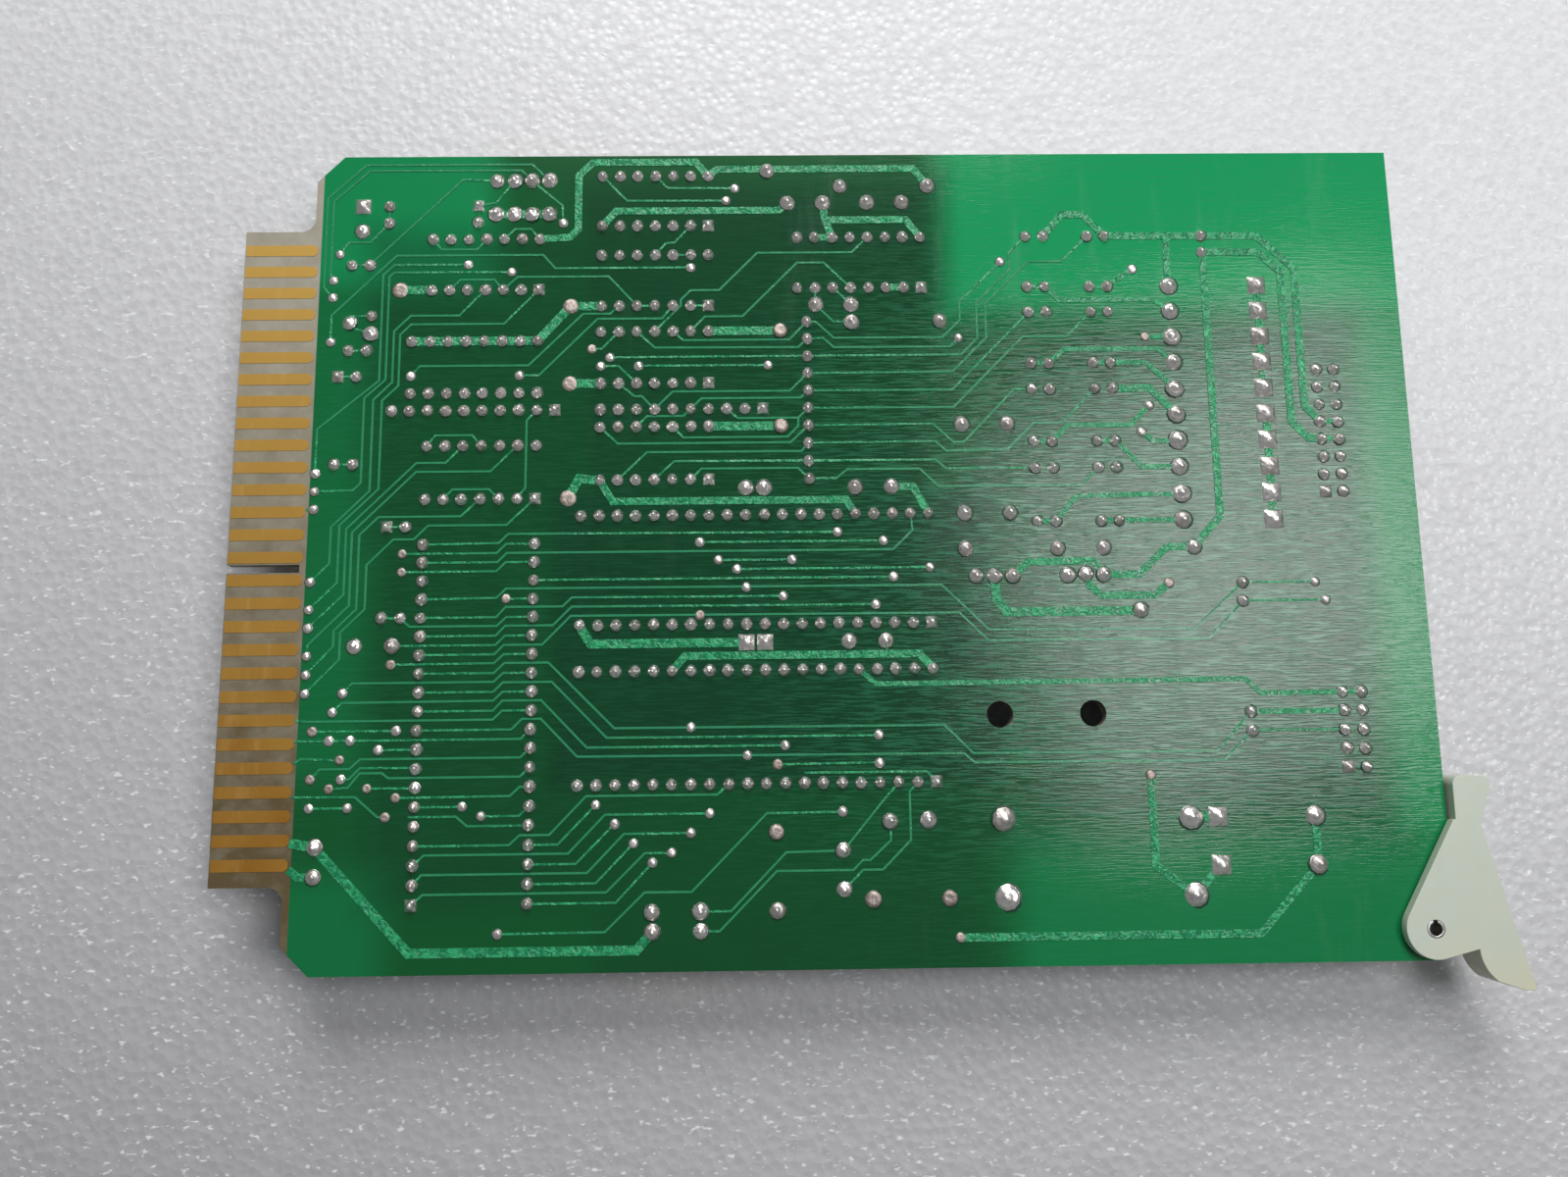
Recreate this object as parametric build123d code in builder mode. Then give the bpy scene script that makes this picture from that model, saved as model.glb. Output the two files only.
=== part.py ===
from build123d import *
from math import acos, atan2, cos, degrees, hypot, radians, sin, tan
import os

# A plug-in control card with an ejector lever at its front lower corner, solder side up.
# X runs from the contact edge to the front edge, Y up the card and Z out of the solder side.
# The origin is the middle of the contact edge, half way through the laminate, in millimetres.
# Places on the card are steps u, v of the layout grid: u from the contact edge, v from the lower edge.

os.makedirs("parts", exist_ok=True)

# Layout grid and laminate
grid = 2.54
centre_v = 22.5
laminate = 1.57
copper = 0.07

# Contact tongue
contact_count = 28
contact_pitch = 3.175
contact_width = 1.6
contact_length = 10.2
contact_inset = 0.15
contact_corner = 0.45
contact_thickness = 0.05
tongue_length = 9.8
tongue_margin = 1.27
tongue_root_radius = 2.0
key_slot_width = 1.1
key_slot_depth = 9.9

# Card edges
edge_margin = 3.175
header_setback = 10.16
rear_corner_clip = 3.8
front_corner_clip = 3.5
screw_hole_radius = 1.8

# Solder
joint_sides = 4
joint_height = 1.1
via_height = 0.45
signal_joint_radius = 0.8
heavy_joint_radius = 1.08
diode_joint_radius = 1.27
power_joint_radius = 1.65
via_radius = 0.66

# Tracks
signal_width = 0.3
feed_width = 0.7
supply_width = 1.05
bus_width = 1.25

# Dual in-line packages
lead_width = 1.3
lead_thickness = 0.28
narrow_rows = 3
wide_rows = 6
chip_end = 2.0
narrow_body_width = 6.4
narrow_body_height = 3.3
wide_body_width = 13.6
wide_body_height = 4.0
body_draft = 6
chip_gap = 0.5
pin_one_notch_radius = 0.8
pin_one_notch_depth = 0.7
socket_height = 4.3
socket_rim = 2.4

# Switch block, resistor networks and power transistors
switch_body_width = 9.6
switch_body_height = 5.6
switch_slot_width = 1.2
switch_slot_length = 4.2
switch_slot_depth = 0.8
slider_height = 1.6
network_thickness = 2.4
network_height = 5.0
transistor_body_length = 5.0

# Wire-ended parts
wire_width = 0.6
clamp_diode_radius = 1.3
clamp_diode_length = 5.0
rectifier_radius = 2.6
rectifier_length = 9.0
resistor_radius = 1.15
resistor_length = 6.3
filter_radius = 4.3
filter_length = 19.0
wire_part_gap = 0.4
small_body_sides = 8
ceramic_thickness = 2.2
ceramic_height = 5.0
ceramic_overhang = 1.1
bead_radius = 2.3
bead_height = 6.4

# Crystal
crystal_width = 9.3
crystal_length = 13.2
crystal_thickness = 4.5
crystal_lead_run = 1.6
crystal_corner = 1.2
strap_width = 0.7

# Voltage regulators
regulator_width = 10.0
regulator_tab_thickness = 1.27
regulator_body_height = 4.5
regulator_tab_length = 15.4
regulator_body_length = 9.2
regulator_tab_end = 2.7
regulator_hole_radius = 1.92
regulator_lead_width = 0.9
regulator_lead_height = 2.6

# Boxed headers and jumpers
header_height = 9.0
header_depth = 8.9
header_end = 5.1
header_wall = 1.2
header_back_wall = 2.4
header_key_width = 4.5
post_width = 0.64
near_row_height = 3.2
far_row_height = 5.8
pin_reach = 8.2
jumper_base_height = 2.5
jumper_base_width = 2.4
jumper_post_height = 8.5

# Ejector lever, measured from its pivot
pivot_inset_x = 3.63
pivot_inset_y = 4.2
pin_radius = 1.2
pin_wall = 0.38
pin_split = 0.5
pin_running_fit = 0.05
lever_thickness = 4.6
lever_slot_clearance = 0.15
lever_edge_clearance = 0.35
hub_radius = 3.9
shoulder_height = 14.1
arm_height = 19.9
neck_height = 13.4
neck_width = 3.3
grip_width = 5.1
grip_corner_radius = 1.2
toe_drop = 7.9
toe_reach = 12.6
toe_nose = 1.5
heel_height = 2.6
heel_reach = 1.9
heel_radius = 3.4
heel_bow = 0.4
corner_sweep_clearance = 0.6

solder_face = laminate / 2
component_face = -laminate / 2


def at(u, v):
    """Give the card position of a grid point."""
    return (u * grid, (v - centre_v) * grid)


def row(u, v, count, du=1, dv=0):
    """List grid points in a straight row."""
    return [(u + i * du, v + i * dv) for i in range(count)]


# Parts under the board, by the grid point of their lowest, leftmost lead
small_chips = {
    "logic_chip_1": (10.5, 37, 7),
    "logic_chip_2": (20, 40.75, 7),
    "logic_chip_3": (20, 36, 7),
    "logic_chip_4": (31, 37, 8),
    "logic_chip_5": (20, 31.5, 7),
    "logic_chip_6": (20, 26, 7),
    "logic_chip_7": (10.5, 25, 7),
}
large_chips = {
    "processor_chip": (19, 18, 1, 0),
    "interface_chip": (19, 9.5, 1, 0),
    "buffer_chip": (10.5, 3.5, 0, 1),
}
large_chip_pins = 20
switch_corner = (9.5, 31)
switch_ways = 8
networks = {
    "resistor_network_1": (8.5, 30, 1, 0),
    "resistor_network_2": (20, 30, 1, 0),
    "resistor_network_3": (31.5, 26, 0, 1),
}
network_pins = 10
transistor_columns = (44, 47.5)
transistor_rows = row(0, 23.5, 4, 0, 4.5)
clamp_diode_rows = row(0, 23.5, 10, 0, 1.5)
clamp_diode_ends = (52, 57)
rectifiers = [((52.85, 7.5), (58, 7.5)), ((52.85, 5), (58, 5))]
filter_capacitors = {
    "filter_capacitor_1": ((41.5, 7.5), (51.4, 7.5)),
    "filter_capacitor_2": ((41.5, 3.5), (51.4, 3.5)),
}
resistors = [
    ((34, 35), (39, 35)), ((33.5, 43.1), (38.5, 43.1)), ((40, 22), (45, 22)), ((34.5, 3.5), (38.5, 3.5)),
]
ceramics = [
    ((30.5, 42.1), (32.5, 42.1)), ((35, 42.1), (37, 42.1)), ((32, 36), (34, 36)), ((40, 29), (42.5, 29)),
    ((40, 24), (42.5, 24)), ((34, 25.5), (36, 25.5)), ((33.5, 17), (35.5, 17)), ((7, 17), (9, 17)),
    ((23, 3), (25.5, 3)), ((23, 2), (25.5, 2)), ((35.5, 7.5), (37.5, 7.5)), ((28, 17), (29, 17)),
    ((14, 41.5), (14, 43.5)), ((15, 41.5), (15, 43.5)), ((16, 41.5), (16, 43.5)), ((17, 41.5), (17, 43.5)),
]
beads = [((28, 25.5), (29, 25.5)), ((5.4, 5), (5.4, 6.5)), ((6.5, 40.5), (6.5, 42))]
jumpers = [
    ((8, 41), (8, 42)), ((6, 38.5), (7, 38.5)), ((6, 35.5), (7.2, 35.5)), ((6, 33.5), (7, 33.5)),
    ((5.5, 32), (6.5, 32)), ((5.5, 27), (6.5, 27)), ((8.5, 23.5), (9.5, 23.5)), ((8.4, 18.5), (9.4, 18.5)),
    ((13, 41), (13, 42)), ((54, 39), (54, 40)), ((55, 19), (55, 20)), ((55, 12), (55, 13)),
]
crystal_leads = ((33, 4), (33, 6))
strap_ends = ((29.5, 3), (29.5, 7))
regulators = {"1": (41.5, 20.5), "2": (46.5, 20.5)}
screw_hole_v = 13
headers = {"header_16_way": (60, 25, 8), "header_10_way": (60, 10, 5)}

# Lone joints: links, straps and test lands with no part under them
lone_joints = [
    (6, 34.85), (7.2, 34.5), (30, 34.5), (30, 29), (29.35, 44.05), (49.4, 18.5), (52.5, 22), (47.5, 22),
]
flat_lands = [(8.75, 37), (18.3, 36), (18.3, 31.5), (18.3, 25)]
vias = [
    (5.3, 39.15), (12.5, 38.5), (14.95, 38.05), (25, 38.25), (17.8, 40.95), (27, 42.25), (27.5, 43),
    (42.5, 38.5), (50, 38), (40, 34), (19.5, 33.5), (20.5, 33), (20, 32.5), (22.1, 32.5), (29.3, 32.5),
    (9.5, 32), (15.5, 32), (4.5, 26.5), (4.5, 25.5), (4.5, 24.5), (4.5, 20.5), (4.5, 19), (4.5, 18),
    (9.4, 22), (9.4, 21), (33, 23), (25.5, 22.5), (35.5, 22.5), (26.5, 21.5), (30.5, 21.5), (27.5, 21),
    (38, 21), (36, 20.5), (28, 20), (30, 19.5), (35, 19), (25.5, 18.5), (15.05, 19.5), (9, 16),
    (6.5, 14.5), (6, 13.5), (5, 12.5), (9.4, 12.5), (5.9, 12), (7, 12), (8.5, 11.5), (6.5, 11),
    (5, 10), (6.6, 10), (6, 9.5), (8, 9.5), (9.5, 9), (4.5, 16.5), (4.5, 15.5), (4.5, 14.5), (25, 12.5),
    (35, 12), (30, 11.5), (28, 11), (29.6, 10.5), (35, 10.5), (5, 8.5), (7, 8.5), (9, 8),
    (13, 8.5), (14, 8), (20, 8.5), (21, 7.5), (22, 6.5), (23, 5.5), (24, 6), (25, 7), (26, 8), (33, 8),
    (15, 2), (39, 1.5), (50.5, 34), (50.5, 30), (50, 28.5), (49.4, 9.7), (51, 20), (59, 20), (59.5, 19),
    (5, 37.6), (5, 36.6), (5, 34),
]

# Copper runs on the solder side, as grid points from joint to joint
signal_runs = [
    [(17, 43.5), (16, 44.5), (6.6, 44.5), (4.5, 42.5), (4.5, 37.2), (5, 36.6)],
    [(16, 43.5), (15.4, 44.15), (6.8, 44.15), (4.85, 42.3), (4.85, 38), (5, 37.6)],
    [(8, 41), (7, 39.85), (5.8, 39.85), (5.3, 39.15)],
    [(8, 41), (8, 42)],
    [(6, 38.5), (7, 38.5), (12.1, 43.6), (14, 43.5)],
    [(10.5, 40), (11, 39.4), (13, 39.4), (13.5, 40)],
    [(5, 34), (5, 35.55), (8.5, 39.05), (16.7, 39.05), (17.4, 38.25), (25, 38.25)],
    [(4.5, 26.5), (4.5, 29), (7.78, 31.75), (7.78, 37.9), (8.4, 38.5), (12.5, 38.5)],
    [(4.5, 25.5), (6.6, 25.55), (7, 25.95), (7, 30.75), (8.13, 31.8), (8.13, 37.8), (8.4, 38.05), (14.95, 38.05)],
    [(4.5, 20.5), (5.5, 21.5), (5.5, 23.5), (7.5, 25.5), (7.5, 30.65), (8.5, 31.65), (8.5, 34.6), (9.4, 35.5),
     (12.1, 35.5), (13.5, 37)],
    [(4.5, 19), (5.95, 20.45), (5.95, 23.6), (7.98, 25.6), (7.98, 30.6), (8.85, 31.45), (8.85, 34.4), (9.45, 35),
     (14.6, 35), (16.5, 37)],
    [(4.5, 18), (6.33, 19.8), (6.33, 23.4), (10, 27.05), (11.6, 27.05), (12.5, 28)],
    [(4.5, 16.5), (4.55, 17.1), (6.65, 19.2), (6.65, 23.2), (10, 26.55), (14.05, 26.55), (15.5, 28)],
    [(4.5, 15.5), (5.9, 17), (5.9, 17.85), (7.05, 19), (7.05, 23.05), (8.05, 24.05), (12.5, 24.05), (13.5, 25)],
    [(4.5, 14.5), (6.25, 16.3), (6.25, 17.75), (7.5, 19), (7.5, 21.4), (8.9, 22.8), (10, 22.8), (10.75, 23.55),
     (15, 23.55), (16.5, 25)],
    [(16.5, 30), (15.97, 29.4), (15.97, 25.6), (15.5, 25)],
    [(11.5, 25), (12, 25.55), (14, 25.55), (14.5, 25)],
    [(10.5, 28), (11, 28.6), (13, 28.6), (13.5, 28)],
    [(9.5, 32), (10, 32.57), (16, 32.57), (19, 35.55), (20.5, 35.55), (21, 36)],
    [(15.5, 32), (16.6, 32), (19.8, 35.25), (23.4, 35.25), (24, 36)],
    [(11.5, 37), (12.1, 37.6), (14, 37.6), (14.5, 37), (15.3, 37.75), (20.4, 37.75), (22, 36), (23, 36)],
    [(15, 43.5), (14, 42.2), (13, 42), (13, 41)],
    [(16, 43.5), (17.75, 42), (17.8, 40.95)],
    [(14.5, 40), (15.1, 40.6), (16, 40.6), (16.5, 40)],
    [(20, 43.75), (21.4, 42.27), (27, 42.25)],
    [(23, 43.75), (23.7, 43.03), (27.5, 43)],
    [(25, 40.75), (24.1, 39.75), (23.6, 39.7), (23, 39)],
    [(24, 39), (25, 39)],
    [(25, 36), (26, 36)],
    [(23, 34.5), (24.45, 36), (24.45, 36.35), (25, 36.9), (26.6, 36.9), (28.75, 39.1), (34.1, 39.1), (35, 40)],
    [(25, 34.5), (25.8, 35.35), (27.9, 35.35), (31, 38.5), (32.5, 38.5), (34, 37)],
    [(32, 37), (32, 36), (33, 35), (34, 35)],
    [(33, 37), (34, 36)],
    [(42.5, 38.5), (40.1, 36.1), (40.1, 35.05), (39.1, 34.05), (33, 34.05), (32, 35), (31.5, 35)],
    [(44, 40), (43, 39), (43, 38), (41.05, 36.05), (41.05, 34), (40.1, 33.03), (20.5, 33)],
    [(47.5, 40), (46, 38.5), (44.1, 38.5), (41.55, 36), (41.55, 34), (39.6, 32.05), (31.5, 32)],
    [(31.5, 34), (32.4, 34.05), (33, 33.5), (39.5, 33.5), (40, 34)],
    [(31.5, 31), (39.55, 31), (44, 35.5)],
    [(31.5, 30), (39.6, 30), (43.6, 34.05), (46.1, 34.05), (47.5, 35.5)],
    [(31.5, 29), (38.4, 29.05), (39.5, 28), (40.1, 28), (43, 31), (44, 31)],
    [(31.5, 28), (38.5, 28.05), (39.1, 27.5), (42.5, 27.55), (44, 29.05), (45.6, 29.05), (47.5, 31)],
    [(31.5, 27), (38.5, 27), (39.05, 26.5), (44, 26.5)],
    [(31.5, 26), (33, 26), (33.6, 26.5), (37.6, 26.5), (38.6, 25.5), (46.5, 25.5), (47.5, 26.5)],
    [(19.5, 33.5), (20.05, 33.5), (21, 34.5)],
    [(20, 32.5), (21, 32.5), (22, 31.5)],
    [(22.1, 32.5), (29.3, 32.5)],
    [(22, 34.5), (23, 33.55), (31, 33.52), (31.5, 34)],
    [(24, 34.5), (24.6, 33.97), (30.5, 33.97), (31.5, 35)],
    [(21, 31.5), (21.9, 30.75), (22.3, 30.75), (23, 30), (24, 31), (30.5, 31), (31.5, 32)],
    [(22, 29), (22.6, 29.6), (24.6, 29.6), (25, 30), (25.6, 30.6), (31.1, 30.6), (31.5, 31)],
    [(20, 29), (21, 28.05), (30.5, 28.05), (31.5, 29)],
    [(24, 29), (24.6, 28.37), (30.35, 28.37), (30.95, 29), (30.95, 29.45), (31.5, 30)],
    [(27, 30), (27.6, 29.45), (30.95, 29.45)],
    [(21, 26), (22.6, 27.55), (31.1, 27.55), (31.5, 28)],
    [(23, 26), (24.1, 27.03), (31.5, 27)],
    [(25, 26), (25.6, 26.6), (30.9, 26.6), (31.5, 26)],
    [(10.5, 22.5), (14.6, 22.55), (15.1, 23.05), (33, 23)],
    [(9.4, 22), (14.5, 22), (15, 22.5), (16.5, 22.5)],
    [(10.5, 21.5), (14.55, 21.5), (15.05, 22), (36, 22), (37.1, 23.05), (37, 24)],
    [(9.4, 21), (14.5, 21), (15, 21.5), (16.5, 21.5)],
    [(16.5, 20.5), (36, 20.5)],
    [(10.5, 19.5), (14.55, 19.55), (15.05, 20.05), (38.6, 20.02), (41.1, 17.55), (52.3, 17.5), (55, 20)],
    [(15.05, 19.5), (16.5, 19.5)],
    [(10.5, 18.5), (14.55, 18.5), (15.05, 19.05), (18.1, 19.05), (18.6, 19.53), (30, 19.5)],
    [(9.4, 18.5), (9.95, 18.03), (14.6, 18.03), (15.1, 18.5), (16.5, 18.5)],
    [(10.5, 17.5), (14.55, 17.5), (15.05, 18.03), (17.6, 18.03), (18.6, 19.03), (35, 19)],
    [(9, 17), (14.55, 17), (15.05, 17.5), (16.5, 17.5)],
    [(10.5, 16.5), (14.5, 16.5), (15, 17), (17.05, 17), (18.55, 18.53), (39.5, 18.5), (41.05, 16.97), (53, 16.95),
     (55, 19)],
    [(9, 16), (14.5, 16.03), (15, 16.5), (16.5, 16.5)],
    [(10.5, 15.5), (14.5, 15.5), (15.05, 16.03), (17.4, 16.03), (20.95, 12.5), (38.5, 12.47), (40, 10.97),
     (53, 10.92), (55, 13)],
    [(6.5, 14.5), (7, 15.03), (14.5, 15.03), (15, 15.5), (16.5, 15.5)],
    [(10.5, 14.5), (14.5, 14.5), (15, 15), (17.6, 15), (20.55, 12), (35, 11.97)],
    [(6, 13.5), (6.5, 14), (14.5, 14.03), (15, 14.5), (16.5, 14.5)],
    [(10.5, 13.5), (14.5, 13.5), (15, 14.03), (17.05, 14.03), (19.5, 11.5), (30, 11.5)],
    [(4.1, 13.1), (4.6, 13.03), (14.5, 13.03), (15, 13.5), (16.5, 13.5)],
    [(10.5, 12.5), (15.5, 12.5), (16.05, 13.05), (17.05, 13.05), (19, 11.03), (39.5, 10.97), (40.05, 10.48),
     (53.4, 10.45), (55, 12)],
    [(5, 12.5), (9.4, 12.5)],
    [(4.1, 12), (16, 12), (16.5, 12.5)],
    [(8.5, 11.5), (10.5, 11.5)],
    [(4.1, 10.85), (4.5, 11.08), (6.5, 11)],
    [(5, 10), (5.5, 10.53), (7.05, 10.53), (7.6, 11.03), (16, 11.03), (16.5, 11.5)],
    [(6.6, 10), (7.05, 10), (7.6, 10.57), (10.5, 10.55)],
    [(6, 9.5), (7, 9.55), (7.6, 10.3), (8.75, 10.3), (9.1, 10.03), (16, 10.03), (16.5, 10.5)],
    [(8, 9.5), (10.5, 9.5)],
    [(9.5, 9), (15.5, 9.03), (16, 9.5), (16.5, 9.5)],
    [(4.1, 9.1), (7.4, 9.07), (8.6, 8.03), (9, 8)],
    [(5, 8.5), (7, 8.5)],
    [(10.2, 8), (12.7, 8), (13.3, 7.5), (16.5, 7.5)],
    [(10.5, 8.5), (13, 8.5)],
    [(14, 8), (16, 8), (16.5, 8.5)],
    [(10.5, 6.5), (15.5, 6.5), (16.05, 7), (17.6, 7), (19.5, 8.97), (26.4, 8.97), (27, 9.5)],
    [(10.5, 5.5), (11.1, 6.03), (18.6, 6.03), (20.5, 8), (26, 8)],
    [(10.5, 4.5), (11, 5.03), (19.6, 5.03), (21.5, 7), (25, 7)],
    [(10.5, 3.5), (11.1, 4.03), (20.6, 4.03), (22.6, 6), (24, 6)],
    [(16.5, 6.5), (18.05, 6.5), (20, 8.5)],
    [(16.5, 5.5), (19, 5.5), (21, 7.5)],
    [(16.5, 4.5), (20.05, 4.5), (22, 6.5)],
    [(16.5, 3.5), (21.1, 3.5), (23, 5.5)],
    [(15, 2), (20.55, 2.03), (22.6, 4), (25.05, 4), (29, 7.97), (33, 8)],
    [(25.5, 3), (27.1, 3), (30, 5.95), (33, 6), (35.1, 8.5), (36, 9.5)],
    [(25.5, 2), (26.5, 2), (29.5, 5), (33.5, 5), (34, 5.5), (34.4, 5.5), (35.5, 6.5), (35.5, 7.5)],
    [(37, 9.5), (36.55, 9), (36.55, 6.5), (35.05, 5), (34, 5), (33, 4)],
    [(29.6, 10.5), (35, 10.55)],
    [(31, 10.05), (37.5, 10.05), (38, 9.5)],
    [(25.5, 22.5), (35.5, 22.5)],
    [(26.5, 21.5), (30.5, 21.5)],
    [(27.5, 21), (38, 21)],
    [(55, 20), (59, 20)],
    [(55, 19), (59.5, 19)],
    [(55, 12), (60, 12)],
    [(35.5, 17), (35.6, 16.2)],
    [(6, 35.5), (7.2, 35.5)],
    [(6, 34.85), (7.2, 34.5)],
    [(6, 33.5), (7, 33.5)],
    [(5.5, 32), (6.5, 32)],
    [(5.5, 27), (6.5, 27)],
    [(8.5, 23.5), (9.5, 23.5)],
    [(8.4, 18.5), (9.4, 18.5)],
    [(4.1, 24.5), (4.5, 24.5)],
]
feed_runs = [
    [(34, 15.5), (34.9, 14.7), (54.8, 14.75), (55.6, 13.97), (60, 14), (61, 14)],
    [(55, 13), (60, 13)],
    [(45, 37), (45.75, 36.2), (51.05, 36.2), (52, 35.5)],
    [(48.5, 37), (50, 38)],
    [(50.5, 34), (52, 34)],
    [(45, 32.5), (45.9, 33.3), (51.2, 33.3), (52, 32.5)],
    [(48.5, 32.5), (50.45, 32.5), (52, 31)],
    [(45, 28), (45.9, 28.9), (49.4, 28.9), (50.5, 30)],
    [(50, 28.5), (50.6, 27.95), (52, 28)],
    [(48.5, 28), (49.9, 26.5), (52, 26.5)],
    [(45, 23.5), (46.2, 24.9), (52, 24.95)],
    [(48.5, 23.5), (52, 23.5)],
    [(60, 29), (61, 29)],
    [(60, 28), (61, 28)],
]
feed_runs += [[(u, v), (u + 1, v)] for u in (44, 47.5) for v in (23.5, 28, 32.5, 37)]
supply_runs = [
    [(16.5, 40), (18.2, 40.1), (18.65, 40.55), (18.65, 43.8), (19.45, 44.6), (25.3, 44.6), (26, 43.75), (26.5, 44.15),
     (37.7, 44.15), (38.5, 43.1)],
    [(20, 40.75), (20.8, 41.65), (30, 41.65), (30.5, 42.1)],
    [(32.5, 42.1), (32.6, 41.2), (33, 40)],
    [(32.6, 41.05), (37.2, 41.05), (38, 40)],
    [(32, 40), (33, 40)],
    [(36, 37), (37, 37)],
    [(45, 40), (46.1, 41.3), (47.3, 41.3), (48.5, 40), (57.2, 39.95), (59.2, 38), (59.2, 29.9), (60, 29)],
    [(54, 39), (57.2, 38.97), (58.4, 37.8), (58.4, 29), (59.3, 28.05), (60, 28)],
    [(54.05, 39), (54.05, 23.7), (52.5, 22), (51, 22), (49.4, 20.5), (47.5, 20.5), (46.9, 21.25), (43.4, 21.25),
     (42.5, 20.5)],
    [(52, 37), (52, 39.95)],
    [(48.5, 31), (50.6, 31), (52, 29.5)],
    [(20, 26), (20.75, 24.8), (33.5, 24.8), (34, 24)],
    [(36, 25.5), (37.2, 25.5), (38, 24)],
    [(24, 15.5), (24.7, 16.3), (37.3, 16.3), (38, 15.5)],
    [(46.5, 20.5), (46.7, 19.85), (47.3, 19.35), (50.2, 19.35), (51, 20)],
    [(49.4, 9.7), (49.4, 5), (51.4, 3.5), (52.85, 5)],
    [(58, 7.5), (58, 5), (54.7, 1.5), (39, 1.5)],
    [(4.1, 5.4), (4.6, 5), (5.4, 5)],
    [(57, 37), (57, 31)],
    [(57, 29.5), (57, 23.5)],
]
bus_runs = [
    [(8.75, 37), (10.5, 37)],
    [(20, 36), (18.3, 36), (16.5, 34), (9.5, 34)],
    [(18.3, 31.5), (20, 31.5)],
    [(26, 34.5), (30, 34.5)],
    [(26, 29), (30, 29)],
    [(18.3, 25), (18.9, 26.1), (20, 26)],
    [(19, 18), (19.65, 17), (28, 17)],
    [(41.5, 20.5), (41.55, 19.2), (42.1, 18.5), (49.4, 18.5)],
    [(4.1, 6.75), (5.4, 6.5), (10.45, 1.1), (22.2, 1.1), (23, 2)],
    [(14, 41.5), (17, 41.5)],
    [(51.4, 7.5), (52.85, 7.5)],
]


def flatten(groups):
    """Join a list of lists into one."""
    return [item for group in groups for item in group]


def package_leads(u, v, count, gap, du, dv):
    """List the two facing rows of leads of a package."""
    return row(u, v, count, du, dv) + row(u + gap * dv, v + gap * du, count, du, dv)


small_chip_leads = flatten(package_leads(u, v, n, narrow_rows, 1, 0) for u, v, n in small_chips.values())
large_chip_leads = flatten(
    package_leads(u, v, large_chip_pins, wide_rows, du, dv) for u, v, du, dv in large_chips.values()
)
switch_leads = package_leads(*switch_corner, switch_ways, narrow_rows, 1, 0)
network_leads = flatten(row(u, v, network_pins, du, dv) for u, v, du, dv in networks.values())
transistor_leads = [
    lead for u in transistor_columns for _, v in transistor_rows
    for lead in package_leads(u, v, 2, narrow_rows, 1, 0)
]
header_leads = flatten(row(u, v, n, 0, 1) + row(u + 1, v, n, 0, 1) for u, v, n in headers.values())
regulator_leads = flatten(row(u - 1, v, 3) for u, v in regulators.values())
signal_joints = (
    small_chip_leads + large_chip_leads + switch_leads + network_leads + transistor_leads + header_leads
    + flatten(jumpers)
)
heavy_joints = (
    regulator_leads + flatten(resistors) + flatten(ceramics) + flatten(beads) + list(crystal_leads)
    + list(strap_ends) + lone_joints
)
diode_joints = [(u, v) for u in clamp_diode_ends for _, v in clamp_diode_rows] + flatten(rectifiers)
power_joints = flatten(filter_capacitors.values())
joint_groups = {
    signal_joint_radius: signal_joints,
    heavy_joint_radius: heavy_joints,
    diode_joint_radius: diode_joints,
    power_joint_radius: power_joints,
}
via_groups = {via_radius: vias, heavy_joint_radius: flat_lands}


def places(points):
    """Place a list of grid points on the card."""
    return Locations(*[at(u, v) for u, v in points])


# Card outline
contact_edge_half = (contact_count * contact_pitch) / 2 + tongue_margin
all_joints = flatten(joint_groups.values())
card_top = max(at(u, v)[1] for u, v in small_chip_leads) + edge_margin
card_bottom = -card_top
card_front = max(at(u, v)[0] for u, v in header_leads) + header_setback
pivot_x = card_front - pivot_inset_x
pivot_y = card_bottom + pivot_inset_y
screw_holes = [at(u, screw_hole_v) for u, v in regulators.values()]

with BuildPart() as board:
    with BuildSketch(Plane.XY.offset(component_face)) as outline:
        with BuildLine():
            Polyline(
                (tongue_length, card_bottom + rear_corner_clip),
                (tongue_length + rear_corner_clip, card_bottom),
                (card_front - front_corner_clip, card_bottom),
                (card_front, card_bottom + front_corner_clip),
                (card_front, card_top),
                (tongue_length + rear_corner_clip, card_top),
                (tongue_length, card_top - rear_corner_clip),
                close=True,
            )
        make_face()
        with Locations((tongue_length / 2, 0)):
            Rectangle(tongue_length, 2 * contact_edge_half)
        tongue_roots = [
            corner for corner in outline.vertices()
            if abs(corner.X - tongue_length) < 0.01 and abs(abs(corner.Y) - contact_edge_half) < 0.01
        ]
        fillet(tongue_roots, tongue_root_radius)
        with Locations((key_slot_depth / 2, -contact_pitch)):
            Rectangle(key_slot_depth, key_slot_width, mode=Mode.SUBTRACT)
        with Locations(*screw_holes):
            Circle(screw_hole_radius, mode=Mode.SUBTRACT)
        with Locations((pivot_x, pivot_y)):
            Circle(pin_radius + pin_running_fit, mode=Mode.SUBTRACT)
    extrude(amount=laminate)
board.part.label = "board"
export_step(board.part, "parts/board.step")


def contact_row(face, thickness):
    """Build one side's row of contacts, with clipped inner corners."""
    first = -(contact_count - 1) / 2 * contact_pitch
    half = contact_width / 2
    tip = contact_inset + contact_length
    with BuildPart() as contacts:
        with BuildSketch(Plane.XY.offset(face)):
            with Locations(*[(0, first + i * contact_pitch) for i in range(contact_count)]):
                Polygon(
                    (contact_inset, -half), (tip - contact_corner, -half), (tip, contact_corner - half),
                    (tip, half - contact_corner), (tip - contact_corner, half), (contact_inset, half),
                    align=None,
                )
        extrude(amount=thickness)
    return contacts.part


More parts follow.
